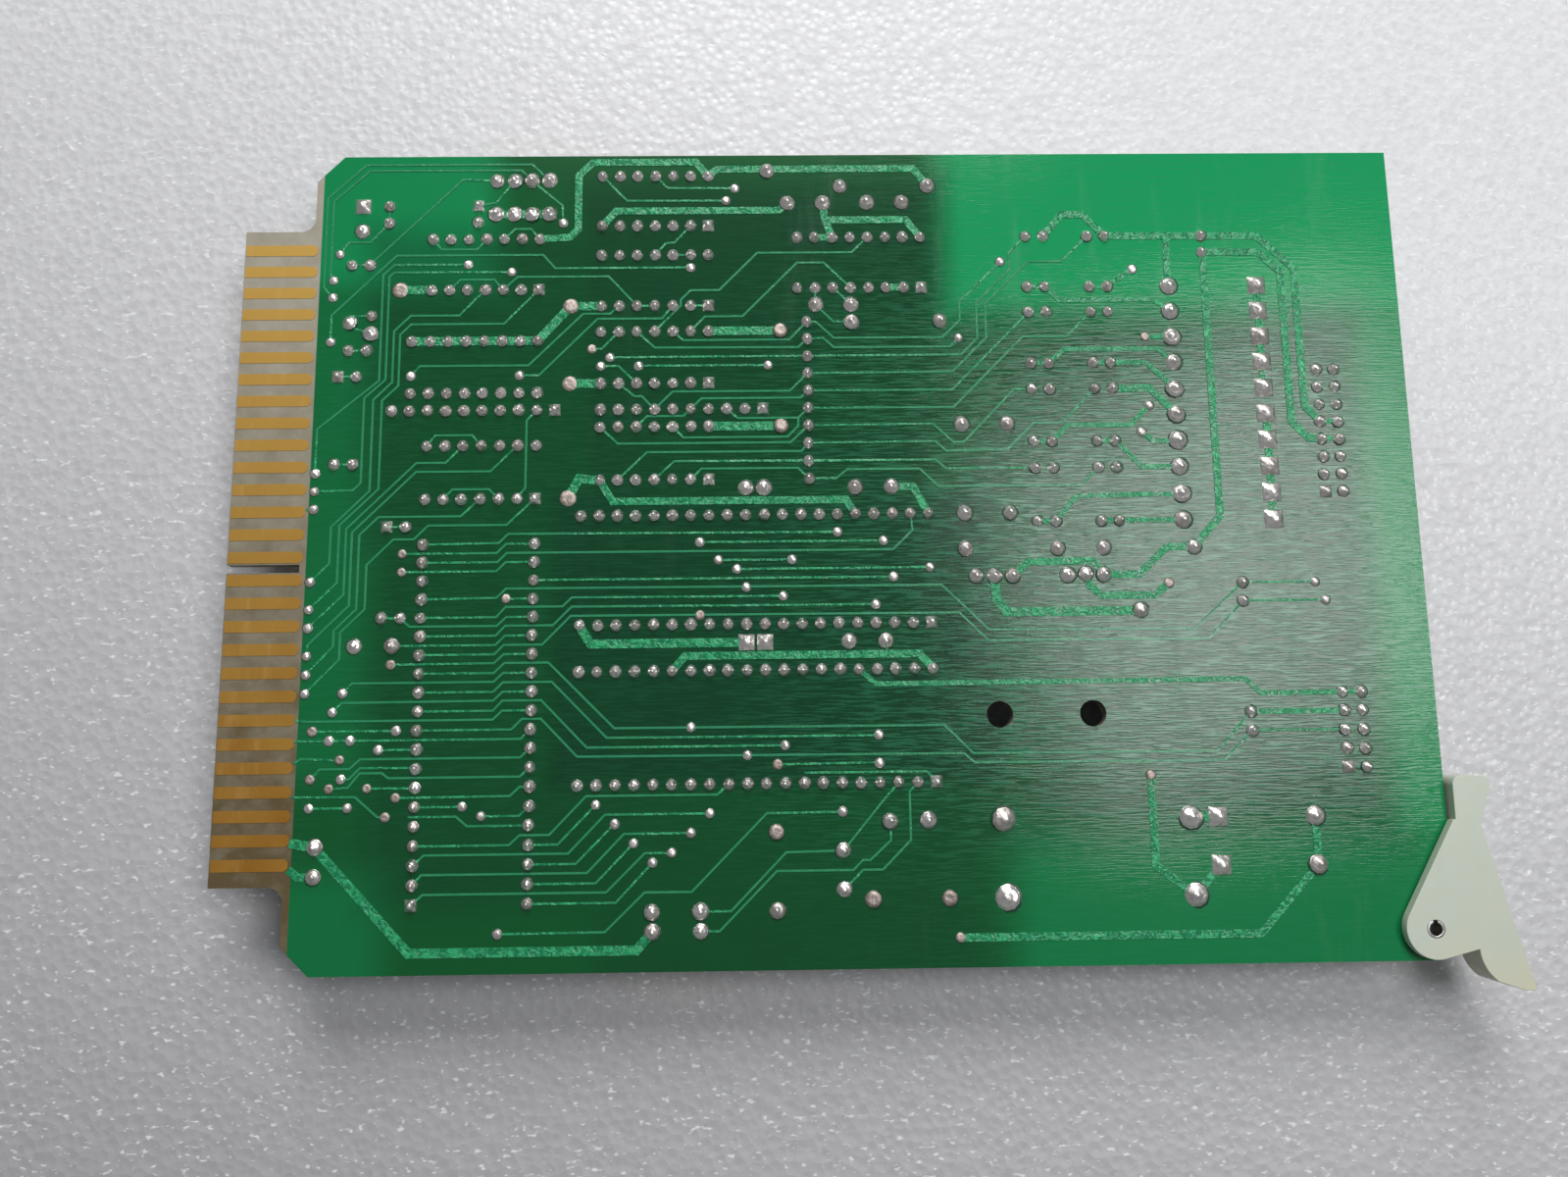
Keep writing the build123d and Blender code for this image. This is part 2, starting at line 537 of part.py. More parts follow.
for side, face, thickness in (
    ("solder", solder_face, contact_thickness), ("component", component_face, -contact_thickness)
):
    contacts = contact_row(face, thickness)
    contacts.label = f"contacts_{side}_side"
    export_step(contacts, f"parts/contacts_{side}_side.step")


def ribbon(run, width):
    """Outline a copper run of constant width, mitred at its bends."""
    points = [at(u, v) for u, v in run]
    headings = [
        atan2(end[1] - start[1], end[0] - start[0]) for start, end in zip(points, points[1:])
    ]
    before = [headings[0]] + headings
    after = headings + [headings[-1]]
    left, right = [], []
    for (x, y), incoming, outgoing in zip(points, before, after):
        bisector = (incoming + outgoing) / 2
        reach = width / 2 / cos((outgoing - incoming) / 2)
        left.append((x - reach * sin(bisector), y + reach * cos(bisector)))
        right.append((x + reach * sin(bisector), y - reach * cos(bisector)))
    return Polygon(*left, *reversed(right), align=None, mode=Mode.PRIVATE)


with BuildPart() as tracks:
    with BuildSketch(Plane.XY.offset(solder_face)):
        add([ribbon(run, signal_width) for run in signal_runs])
        add([ribbon(run, feed_width) for run in feed_runs])
        add([ribbon(run, supply_width) for run in supply_runs])
        add([ribbon(run, bus_width) for run in bus_runs])
    extrude(amount=copper)
tracks.part.label = "tracks"
export_step(tracks.part, "parts/tracks.step")


def solder_cone(radius, height):
    """Build one faceted solder joint standing on the solder side."""
    with BuildPart(mode=Mode.PRIVATE) as cone:
        with BuildSketch(Plane.XY.offset(solder_face + copper)) as base:
            RegularPolygon(radius, joint_sides)
        loft(sections=[base.sketch.faces()[0], Vertex(0, 0, solder_face + copper + height)])
    return cone.part


def solder_group(label, groups, height):
    """Build every joint of one kind as a solid of its own."""
    with BuildPart() as joints:
        for radius, points in groups.items():
            with places(points):
                add(solder_cone(radius, height))
    joints.part.label = label
    export_step(joints.part, f"parts/{label}.step")


solder_group("solder_joints", joint_groups, joint_height)
solder_group("via_joints", via_groups, via_height)


def middle(points):
    """Find the card position midway between the outermost of some grid points."""
    spots = [at(u, v) for u, v in points]
    return (
        (min(x for x, y in spots) + max(x for x, y in spots)) / 2,
        (min(y for x, y in spots) + max(y for x, y in spots)) / 2,
    )


def chip_body(label, leads, width, height, seat, turn):
    """Build a moulded package body with drafted sides and a notch at its pin one end."""
    centre = middle(leads)
    span = max(max(u for u, v in leads) - min(u for u, v in leads), max(v for u, v in leads) - min(v for u, v in leads))
    length = span * grid + chip_end
    parting = component_face - seat - height / 2
    with BuildPart() as body:
        with BuildSketch(Plane.XY.offset(parting)):
            with Locations(Location((*centre, 0), (0, 0, turn))):
                Rectangle(length, width)
        extrude(amount=height / 2, both=True, taper=body_draft)
        with BuildSketch(Plane.XY.offset(parting - height / 2)):
            with Locations(Location((*centre, 0), (0, 0, turn))):
                with Locations((length / 2, 0)):
                    RegularPolygon(pin_one_notch_radius, small_body_sides)
        extrude(amount=pin_one_notch_depth, mode=Mode.SUBTRACT)
    body.part.label = label
    export_step(body.part, f"parts/{label}.step")


def tapered_lead(body_width, row_gap, top, bottom):
    """Build one package lead beside the body, wide at its shoulder and narrowing to its seat."""
    inner = body_width / 2 - row_gap * grid / 2
    outer = lead_thickness / 2
    with BuildPart(mode=Mode.PRIVATE) as lead:
        with BuildSketch(Plane.XY.offset(top)) as shoulder:
            Polygon((lead_width / 2, inner), (-lead_width / 2, inner), (0, outer), align=None)
        loft(sections=[shoulder.sketch.faces()[0], Vertex(0, outer, bottom)])
    return lead.part


def facing_rows(u, v, count, gap, du, dv):
    """Locate each lead of a package, turned to face away from the body."""
    spots = []
    for point in row(u, v, count, du, dv):
        spots.append(Location((*at(*point), 0), (0, 0, 180 if du else 90)))
    for point in row(u + gap * dv, v + gap * du, count, du, dv):
        spots.append(Location((*at(*point), 0), (0, 0, 0 if du else -90)))
    return spots


for label, (u, v, count) in small_chips.items():
    leads = package_leads(u, v, count, narrow_rows, 1, 0)
    chip_body(label, leads, narrow_body_width, narrow_body_height, chip_gap, 0)

with BuildPart() as logic_leads:
    parting = component_face - chip_gap - narrow_body_height / 2
    lead = tapered_lead(narrow_body_width, narrow_rows, parting, component_face)
    for u, v, count in small_chips.values():
        with Locations(*facing_rows(u, v, count, narrow_rows, 1, 0)):
            add(lead)
logic_leads.part.label = "logic_chip_leads"
export_step(logic_leads.part, "parts/logic_chip_leads.step")

for label, (u, v, du, dv) in large_chips.items():
    leads = package_leads(u, v, large_chip_pins, wide_rows, du, dv)
    seat = socket_height + chip_gap
    chip_body(label, leads, wide_body_width, wide_body_height, seat, -90 * dv)
    with BuildPart() as socket:
        with BuildSketch(Plane.XY.offset(component_face)):
            with Locations(Location((*middle(leads), 0), (0, 0, 90 * dv))):
                Rectangle(large_chip_pins * grid, (wide_rows + 1) * grid)
                Rectangle(large_chip_pins * grid - 2 * socket_rim, (wide_rows + 1) * grid - 2 * socket_rim - grid,
                          mode=Mode.SUBTRACT)
        extrude(amount=-socket_height)
    socket.part.label = f"{label}_socket"
    export_step(socket.part, f"parts/{label}_socket.step")

with BuildPart() as large_leads:
    parting = component_face - socket_height - chip_gap - wide_body_height / 2
    lead = tapered_lead(wide_body_width, wide_rows, parting, component_face - socket_height)
    for u, v, du, dv in large_chips.values():
        with Locations(*facing_rows(u, v, large_chip_pins, wide_rows, du, dv)):
            add(lead)
large_leads.part.label = "large_chip_leads"
export_step(large_leads.part, "parts/large_chip_leads.step")

# Switch block: one slot and one slider per way
switch_centre = middle(switch_leads)
switch_spots = [(at(*point)[0], switch_centre[1]) for point in row(*switch_corner, switch_ways)]
switch_top = component_face - switch_body_height
with BuildPart() as switch_body:
    with BuildSketch(Plane.XY.offset(component_face)):
        with Locations(switch_centre):
            Rectangle(switch_ways * grid, switch_body_width)
    extrude(amount=-switch_body_height)
    with BuildSketch(Plane.XY.offset(switch_top)):
        with Locations(*switch_spots):
            Rectangle(switch_slot_width, switch_slot_length)
    extrude(amount=switch_slot_depth, mode=Mode.SUBTRACT)
switch_body.part.label = "switch_block"
export_step(switch_body.part, "parts/switch_block.step")

with BuildPart() as sliders:
    with BuildSketch(Plane.XY.offset(switch_top + switch_slot_depth)):
        with Locations(*[(x, y + switch_slot_length / 4) for x, y in switch_spots]):
            Rectangle(switch_slot_width, switch_slot_length / 2)
    extrude(amount=-slider_height)
sliders.part.label = "switch_sliders"
export_step(sliders.part, "parts/switch_sliders.step")

for label, (u, v, du, dv) in networks.items():
    with BuildPart() as network:
        with BuildSketch(Plane.XY.offset(component_face)):
            with Locations(Location((*middle(row(u, v, network_pins, du, dv)), 0), (0, 0, 90 * dv))):
                Rectangle(network_pins * grid, network_thickness)
        extrude(amount=-network_height)
    network.part.label = label
    export_step(network.part, f"parts/{label}.step")

# Four-lead power transistors, two side by side in each row
for column, u in enumerate(transistor_columns):
    for place, (_, v) in enumerate(transistor_rows):
        leads = package_leads(u, v, 2, narrow_rows, 1, 0)
        label = f"power_transistor_{1 + column * len(transistor_rows) + place}"
        with BuildPart() as transistor:
            with BuildSketch(Plane.XY.offset(component_face - chip_gap - narrow_body_height / 2)):
                with Locations(middle(leads)):
                    Rectangle(transistor_body_length, narrow_body_width)
            extrude(amount=narrow_body_height / 2, both=True, taper=body_draft)
        transistor.part.label = label
        export_step(transistor.part, f"parts/{label}.step")

with BuildPart() as power_leads:
    parting = component_face - chip_gap - narrow_body_height / 2
    lead = tapered_lead(narrow_body_width, narrow_rows, parting, component_face)
    for u in transistor_columns:
        for _, v in transistor_rows:
            with Locations(*facing_rows(u, v, 2, narrow_rows, 1, 0)):
                add(lead)
power_leads.part.label = "power_transistor_leads"
export_step(power_leads.part, "parts/power_transistor_leads.step")


def pair_frame(pair, height):
    """Give the plane halfway along a pair of leads, its X axis along the pair."""
    (x0, y0), (x1, y1) = at(*pair[0]), at(*pair[1])
    return Plane(origin=((x0 + x1) / 2, (y0 + y1) / 2, height), x_dir=(x1 - x0, y1 - y0, 0), z_dir=(0, 0, 1))


def pair_span(pair):
    """Measure the distance between a pair of leads."""
    (x0, y0), (x1, y1) = at(*pair[0]), at(*pair[1])
    return hypot(x1 - x0, y1 - y0)


def axial_bodies(label, pairs, radius, length):
    """Build round bodies lying between their pairs of leads."""
    with BuildPart() as bodies:
        for pair in pairs:
            frame = pair_frame(pair, component_face - wire_part_gap - radius)
            with BuildSketch(Plane(origin=frame.origin, x_dir=frame.y_dir, z_dir=frame.x_dir)):
                RegularPolygon(radius, small_body_sides)
            extrude(amount=length / 2, both=True)
    bodies.part.label = label
    export_step(bodies.part, f"parts/{label}.step")


clamp_diodes = [((clamp_diode_ends[0], v), (clamp_diode_ends[1], v)) for _, v in clamp_diode_rows]
axial_bodies("clamp_diodes", clamp_diodes, clamp_diode_radius, clamp_diode_length)
axial_bodies("rectifier_diodes", rectifiers, rectifier_radius, rectifier_length)
axial_bodies("resistors", resistors, resistor_radius, resistor_length)

# Axial filter capacitors
for label, pair in filter_capacitors.items():
    frame = pair_frame(pair, component_face - wire_part_gap - filter_radius)
    can_plane = Plane(origin=frame.origin, x_dir=frame.x_dir, z_dir=frame.y_dir)
    half = filter_length / 2
    with BuildPart() as can:
        with BuildSketch(can_plane):
            Polygon(
                (-half, 0), (half, 0), (half, filter_radius), (-half, filter_radius), align=None

            )
        revolve(axis=Axis(can_plane.origin, can_plane.x_dir))
    can.part.label = label
    export_step(can.part, f"parts/{label}.step")


def wire_pair(pair, body_length, axis_height):
    """Build the two bent wires of one axial part, each from the body's end to the board."""
    frame = pair_frame(pair, component_face)
    half = pair_span(pair) / 2
    low, high = -axis_height - wire_width / 2, -axis_height + wire_width / 2
    with BuildPart(mode=Mode.PRIVATE) as wires:
        with BuildSketch(Plane(origin=frame.origin, x_dir=frame.x_dir, z_dir=-frame.y_dir)):
            for side in (1, -1):
                Polygon(
                    (side * body_length / 2, low), (side * (half + wire_width / 2), low),
                    (side * (half + wire_width / 2), 0), (side * (half - wire_width / 2), 0),
                    (side * (half - wire_width / 2), high), (side * body_length / 2, high),
                    align=None,
                )
        extrude(amount=wire_width / 2, both=True)
    return wires.part


with BuildPart() as axial_wires:
    for pairs, length, radius in (
        (clamp_diodes, clamp_diode_length, clamp_diode_radius),
        (rectifiers, rectifier_length, rectifier_radius),
        (resistors, resistor_length, resistor_radius),
        (filter_capacitors.values(), filter_length, filter_radius),
    ):
        add([wire_pair(pair, length, wire_part_gap + radius) for pair in pairs])
axial_wires.part.label = "axial_wires"
export_step(axial_wires.part, "parts/axial_wires.step")

# Upright ceramic capacitors and round bead capacitors, seated on the board
with BuildPart() as ceramic_group:
    for pair in ceramics:
        with BuildSketch(pair_frame(pair, component_face)):
            Rectangle(pair_span(pair) + 2 * ceramic_overhang, ceramic_thickness)
        extrude(amount=-ceramic_height)
ceramic_group.part.label = "ceramic_capacitors"
export_step(ceramic_group.part, "parts/ceramic_capacitors.step")

with BuildPart() as bead_group:
    for pair in beads:
        with BuildSketch(pair_frame(pair, component_face)):
            RegularPolygon(bead_radius, small_body_sides)
        extrude(amount=-bead_height)
bead_group.part.label = "bead_capacitors"
export_step(bead_group.part, "parts/bead_capacitors.step")

# Crystal can lying on the board, its leads at one end and a strap over its middle
crystal_x = at(*crystal_leads[0])[0] - crystal_lead_run - crystal_length / 2
crystal_y = middle(crystal_leads)[1]
with BuildPart() as crystal:
    with BuildSketch(Plane.XY.offset(component_face)) as crystal_outline:
        with Locations((crystal_x, crystal_y)):
            Rectangle(crystal_length, crystal_width)
        chamfer(crystal_outline.vertices(), crystal_corner)
    extrude(amount=-crystal_thickness)
crystal.part.label = "crystal_can"
export_step(crystal.part, "parts/crystal_can.step")

strap_x = at(*strap_ends[0])[0]
strap_half = (at(*strap_ends[1])[1] - at(*strap_ends[0])[1]) / 2
strap_foot = max(strap_half + strap_width / 2, crystal_width / 2 + strap_width)
with BuildPart() as strap:
    with BuildSketch(Plane.YZ.offset(strap_x)):
        with Locations((crystal_y, component_face - (crystal_thickness + strap_width) / 2)):
            Rectangle(2 * strap_foot, crystal_thickness + strap_width)
        with Locations((crystal_y, component_face - crystal_thickness / 2)):
            Rectangle(2 * (strap_foot - strap_width), crystal_thickness, mode=Mode.SUBTRACT)
    extrude(amount=strap_width / 2, both=True)
strap.part.label = "crystal_strap"
export_step(strap.part, "parts/crystal_strap.step")

with BuildPart() as crystal_wires:
    with BuildSketch(Plane.XY.offset(component_face)):
        for point in crystal_leads:
            x, y = at(*point)
            with Locations((x - crystal_lead_run / 2 + wire_width / 4, y)):
                Rectangle(crystal_lead_run + wire_width / 2, wire_width)
    extrude(amount=-crystal_thickness / 2)
crystal_wires.part.label = "crystal_wires"
export_step(crystal_wires.part, "parts/crystal_wires.step")

# Voltage regulators lying flat, their tab holes over the card's screw holes
for number, (u, v) in regulators.items():
    x, hole_y = at(u, screw_hole_v)
    tab_low = hole_y - regulator_tab_end
    body_low = tab_low + regulator_tab_length - regulator_body_length
    lead_y = at(u, v)[1]
    with BuildPart() as tab:
        with BuildSketch(Plane.XY.offset(component_face)):
            with Locations((x, tab_low + regulator_tab_length / 2)):
                Rectangle(regulator_width, regulator_tab_length)
            with Locations((x, hole_y)):
                Circle(regulator_hole_radius, mode=Mode.SUBTRACT)
        extrude(amount=-regulator_tab_thickness)
    tab.part.label = f"regulator_tab_{number}"
    export_step(tab.part, f"parts/regulator_tab_{number}.step")
    with BuildPart() as body:
        with BuildSketch(Plane.XY.offset(component_face - regulator_tab_thickness)):
            with Locations((x, body_low + regulator_body_length / 2)):
                Rectangle(regulator_width, regulator_body_length)
        extrude(amount=regulator_tab_thickness - regulator_body_height, taper=body_draft)
    body.part.label = f"regulator_body_{number}"
    export_step(body.part, f"parts/regulator_body_{number}.step")

with BuildPart() as regulator_wires:
    for number, (u, v) in regulators.items():
        body_end = at(u, screw_hole_v)[1] - regulator_tab_end + regulator_tab_length
        lead_y = at(u, v)[1]
        half = wire_width / 2
        for point in row(u - 1, v, 3):
            with BuildSketch(Plane.YZ.offset(at(*point)[0])):
                Polygon(
                    (body_end, component_face - regulator_lead_height - half),
                    (lead_y + half, component_face - regulator_lead_height - half),
                    (lead_y + half, component_face), (lead_y - half, component_face),
                    (lead_y - half, component_face - regulator_lead_height + half),
                    (body_end, component_face - regulator_lead_height + half),
                    align=None,
                )
            extrude(amount=regulator_lead_width / 2, both=True)
regulator_wires.part.label = "regulator_leads"
export_step(regulator_wires.part, "parts/regulator_leads.step")

# Right-angle boxed headers, open towards the front edge, with a key gap in the outer wall
for label, (u, v, count) in headers.items():
    near_x = at(u + 1, v)[0]
    centre_y = middle(row(u, v, count, 0, 1))[1]
    length = (count - 1) * grid + 2 * header_end
    back_x = card_front - header_depth
    with BuildPart() as shell:
        with BuildSketch(Plane.XY.offset(component_face)):
            with Locations((back_x + header_depth / 2, centre_y)):
                Rectangle(header_depth, length)
        extrude(amount=-header_height)
        mouth = Plane(origin=(card_front, centre_y, component_face - header_height / 2), x_dir=(0, 1, 0), z_dir=(1, 0, 0))
        with BuildSketch(mouth):
            Rectangle(length - 2 * header_wall, header_height - 2 * header_wall)
            with Locations((0, -header_height / 2)):
                Rectangle(header_key_width, 2 * header_wall)
        extrude(amount=header_back_wall - header_depth, mode=Mode.SUBTRACT)
    shell.part.label = label
    export_step(shell.part, f"parts/{label}.step")

with BuildPart() as header_pins:
    half = post_width / 2
    back_x = card_front - header_depth
    for u, v, count in headers.values():
        for column, drop in ((u + 1, near_row_height), (u, far_row_height)):
            x = at(column, v)[0]
            tip = back_x + pin_reach
            with BuildPart(mode=Mode.PRIVATE) as pin:
                with BuildSketch(Plane.XZ):
                    Polygon(
                        (x - half, component_face), (x - half, component_face - drop - half),
                        (tip, component_face - drop - half), (tip, component_face - drop + half),
                        (x + half, component_face - drop + half), (x + half, component_face),
                        align=None,
                    )
                extrude(amount=half, both=True)
            with Locations(*[(0, at(*point)[1]) for point in row(column, v, count, 0, 1)]):
                add(pin.part)
header_pins.part.label = "header_pins"
export_step(header_pins.part, "parts/header_pins.step")

# Two-way jumper posts in their bases
with BuildPart() as jumper_bases:
    for pair in jumpers:
        with BuildSketch(pair_frame(pair, component_face)):
            Rectangle(pair_span(pair) + jumper_base_width, jumper_base_width)
        extrude(amount=-jumper_base_height)
jumper_bases.part.label = "jumper_bases"
export_step(jumper_bases.part, "parts/jumper_bases.step")

with BuildPart() as jumper_posts:
    with BuildSketch(Plane.XY.offset(component_face - jumper_base_height)):
        with places(flatten(jumpers)):
            Rectangle(post_width, post_width)
    extrude(amount=jumper_base_height - jumper_post_height)
jumper_posts.part.label = "jumper_posts"
export_step(jumper_posts.part, "parts/jumper_posts.step")

# Ejector lever: hub, cheeks, arm with a flared grip, and a hooked toe
arm_face = pivot_inset_x + lever_edge_clearance
shoulder = (pivot_inset_x, shoulder_height)
shoulder_angle = degrees(atan2(shoulder[1], shoulder[0])) + degrees(acos(hub_radius / hypot(*shoulder)))
heel = (pivot_inset_x + heel_reach, -heel_height)
heel_angle = degrees(atan2(heel[1], heel[0])) - degrees(acos(hub_radius / hypot(*heel)))
lever_slot_depth = 2 * arm_height
neck = (arm_face + neck_width, neck_height)
grip = (arm_face + grip_width, arm_height - grip_corner_radius)
toe_tip = (toe_reach, -toe_drop)
toe_heel = (toe_reach - toe_nose - heel_radius, -toe_drop + heel_radius / 3)
heel_middle = ((heel[0] + toe_heel[0]) / 2 - heel_bow, (heel[1] + toe_heel[1]) / 2 - heel_bow)


def on_hub(angle):
    """Give a point on the hub's rim."""
    return (hub_radius * cos(radians(angle)), hub_radius * sin(radians(angle)))


lever_plane = Plane(origin=(pivot_x, pivot_y, 0))
with BuildPart() as lever:
    with BuildSketch(lever_plane):
        with BuildLine():
            RadiusArc(on_hub(shoulder_angle), on_hub(heel_angle), -hub_radius)
            Polyline(on_hub(heel_angle), heel)
            ThreePointArc(heel, heel_middle, toe_heel)
            Polyline(toe_heel, (toe_tip[0] - toe_nose, toe_tip[1]), toe_tip, neck, grip)
            RadiusArc(grip, (grip[0] - grip_corner_radius, arm_height), -grip_corner_radius)
            Polyline(
                (grip[0] - grip_corner_radius, arm_height), (arm_face + grip_corner_radius, arm_height)
            )
            RadiusArc(
                (arm_face + grip_corner_radius, arm_height), (arm_face, arm_height - grip_corner_radius),
                -grip_corner_radius,
            )
            Polyline(
                (arm_face, arm_height - grip_corner_radius), (arm_face, shoulder_height), shoulder,
                on_hub(shoulder_angle),
            )
        make_face()
    extrude(amount=lever_thickness / 2, both=True)
    with BuildSketch(lever_plane):
        Circle(max(pivot_inset_x, pivot_inset_y) + corner_sweep_clearance)
        with Locations((arm_face - lever_slot_depth / 2, 0)):
            Rectangle(lever_slot_depth, 2 * lever_slot_depth)
    extrude(amount=laminate / 2 + lever_slot_clearance, both=True, mode=Mode.SUBTRACT)
    with BuildSketch(lever_plane):
        Circle(pin_radius)
    extrude(amount=lever_thickness / 2, both=True, mode=Mode.SUBTRACT)
lever.part.label = "ejector_lever"
export_step(lever.part, "parts/ejector_lever.step")

# Rolled spring pin, fast in the lever and running in the board
with BuildPart() as pin:
    with BuildSketch(Plane(origin=(pivot_x, pivot_y, -lever_thickness / 2))):
        Circle(pin_radius)
        Circle(pin_radius - pin_wall, mode=Mode.SUBTRACT)
        with Locations((0, pin_radius)):
            Rectangle(pin_split, pin_radius, mode=Mode.SUBTRACT)
    extrude(amount=lever_thickness)
pin.part.label = "ejector_pin"
export_step(pin.part, "parts/ejector_pin.step")
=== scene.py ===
"""A plug-in control card with an ejector lever, solder side up on a pale bench."""

import logging
import math
import random
from dataclasses import dataclass
from enum import Enum

import bmesh
import bpy
from mathutils import Matrix, Quaternion, Vector
from mathutils.bvhtree import BVHTree


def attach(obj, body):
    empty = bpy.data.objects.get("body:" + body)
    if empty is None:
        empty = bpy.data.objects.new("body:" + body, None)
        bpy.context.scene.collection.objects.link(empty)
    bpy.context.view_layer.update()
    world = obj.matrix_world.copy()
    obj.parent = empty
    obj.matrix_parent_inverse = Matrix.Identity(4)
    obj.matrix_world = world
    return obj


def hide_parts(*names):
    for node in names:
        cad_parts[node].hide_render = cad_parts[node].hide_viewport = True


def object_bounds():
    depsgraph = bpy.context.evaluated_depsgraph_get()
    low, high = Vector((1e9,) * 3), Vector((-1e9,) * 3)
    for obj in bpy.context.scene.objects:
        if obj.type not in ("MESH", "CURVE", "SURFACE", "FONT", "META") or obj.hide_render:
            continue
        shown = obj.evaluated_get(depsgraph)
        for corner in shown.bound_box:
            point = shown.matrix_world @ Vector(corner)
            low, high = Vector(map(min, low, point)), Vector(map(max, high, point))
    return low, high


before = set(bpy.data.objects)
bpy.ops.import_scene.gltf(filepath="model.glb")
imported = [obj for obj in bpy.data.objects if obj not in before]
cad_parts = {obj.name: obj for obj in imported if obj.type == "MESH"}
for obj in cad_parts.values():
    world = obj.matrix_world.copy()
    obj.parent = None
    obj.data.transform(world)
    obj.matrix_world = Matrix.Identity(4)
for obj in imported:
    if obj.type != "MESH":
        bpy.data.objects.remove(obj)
CAD_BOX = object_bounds()

LOG = logging.getLogger("plug_in_card")

MM = 0.001
GRID = 2.54 * MM
CENTRE_V = 22.5
SOLDER_FACE = 0.785 * MM

Colour = tuple[float, float, float]
Point = tuple[float, float, float]
Spot = tuple[float, float]
Span = tuple[float, float]


def on_card(u: float, v: float, z: float = SOLDER_FACE) -> Vector:
    """Place a point of the layout grid on the card.

    Args:
        u: Grid steps from the contact edge.
        v: Grid steps from the lower edge.
        z: Height above the middle of the laminate, in metres.

    Returns:
        The point in the row frame, in metres.
    """
    return Vector((u * GRID, (v - CENTRE_V) * GRID, z))


class Axis(Enum):
    """The coordinate that a gradient or a mask follows."""

    X = "X"
    Y = "Y"
    Z = "Z"


class Graph:
    """Adds nodes to one node tree and joins them, working out what is a value and what is a link."""

    def __init__(self, tree: bpy.types.NodeTree) -> None:
        """Keep the tree that nodes are added to."""
        self.tree = tree

    def add(
        self, kind: str, inputs: dict[str | int, object] | None = None, **settings: object
    ) -> bpy.types.Node:
        """Add one node.

        Args:
            kind: The node's type name, without its ShaderNode prefix.
            inputs: What goes into each input, by name or number.
            settings: Properties to set on the node before its inputs are filled.

        Returns:
            The new node.
        """
        node = self.tree.nodes.new(f"ShaderNode{kind}")
        for name, value in settings.items():
            setattr(node, name, value)
        for name, value in (inputs or {}).items():
            self.feed(node, name, value)
        return node

    def feed(self, node: bpy.types.Node, name: str | int, value: object) -> None:
        """Fill one input with a link, a number or a colour.

        Args:
            node: The node that has the input.
            name: The input's name or number.
            value: A socket to link from, or what the input holds.
        """
        if isinstance(value, bpy.types.NodeSocket):
            self.tree.links.new(value, node.inputs[name])
        elif isinstance(value, tuple) and len(value) == 3 and node.inputs[name].type == "RGBA":
            node.inputs[name].default_value = (*value, 1.0)
        else:
            node.inputs[name].default_value = value

    def math(self, operation: str, *values: object) -> bpy.types.NodeSocket:
        """Combine values with one arithmetic step and return its result."""
        return self.add("Math", dict(enumerate(values)), operation=operation).outputs[0]

    def colours(self, factor: object, first: object, second: object) -> bpy.types.NodeSocket:
        """Mix two colours by a factor and return the result."""
        return self.add("Mix", {0: factor, 6: first, 7: second}, data_type="RGBA").outputs[2]

    def ramp(
        self, value: object, low: float, high: float, start: object = 0.0, end: object = 1.0
    ) -> bpy.types.NodeSocket:
        """Map a value from one range to another, clamped.

        Args:
            value: The socket or number to map.
            low: Where the source range starts.
            high: Where the source range ends.
            start: The result at low.
            end: The result at high.

        Returns:
            The mapped value's socket.
        """
        return self.add("MapRange", {0: value, 1: low, 2: high, 3: start, 4: end}).outputs[0]


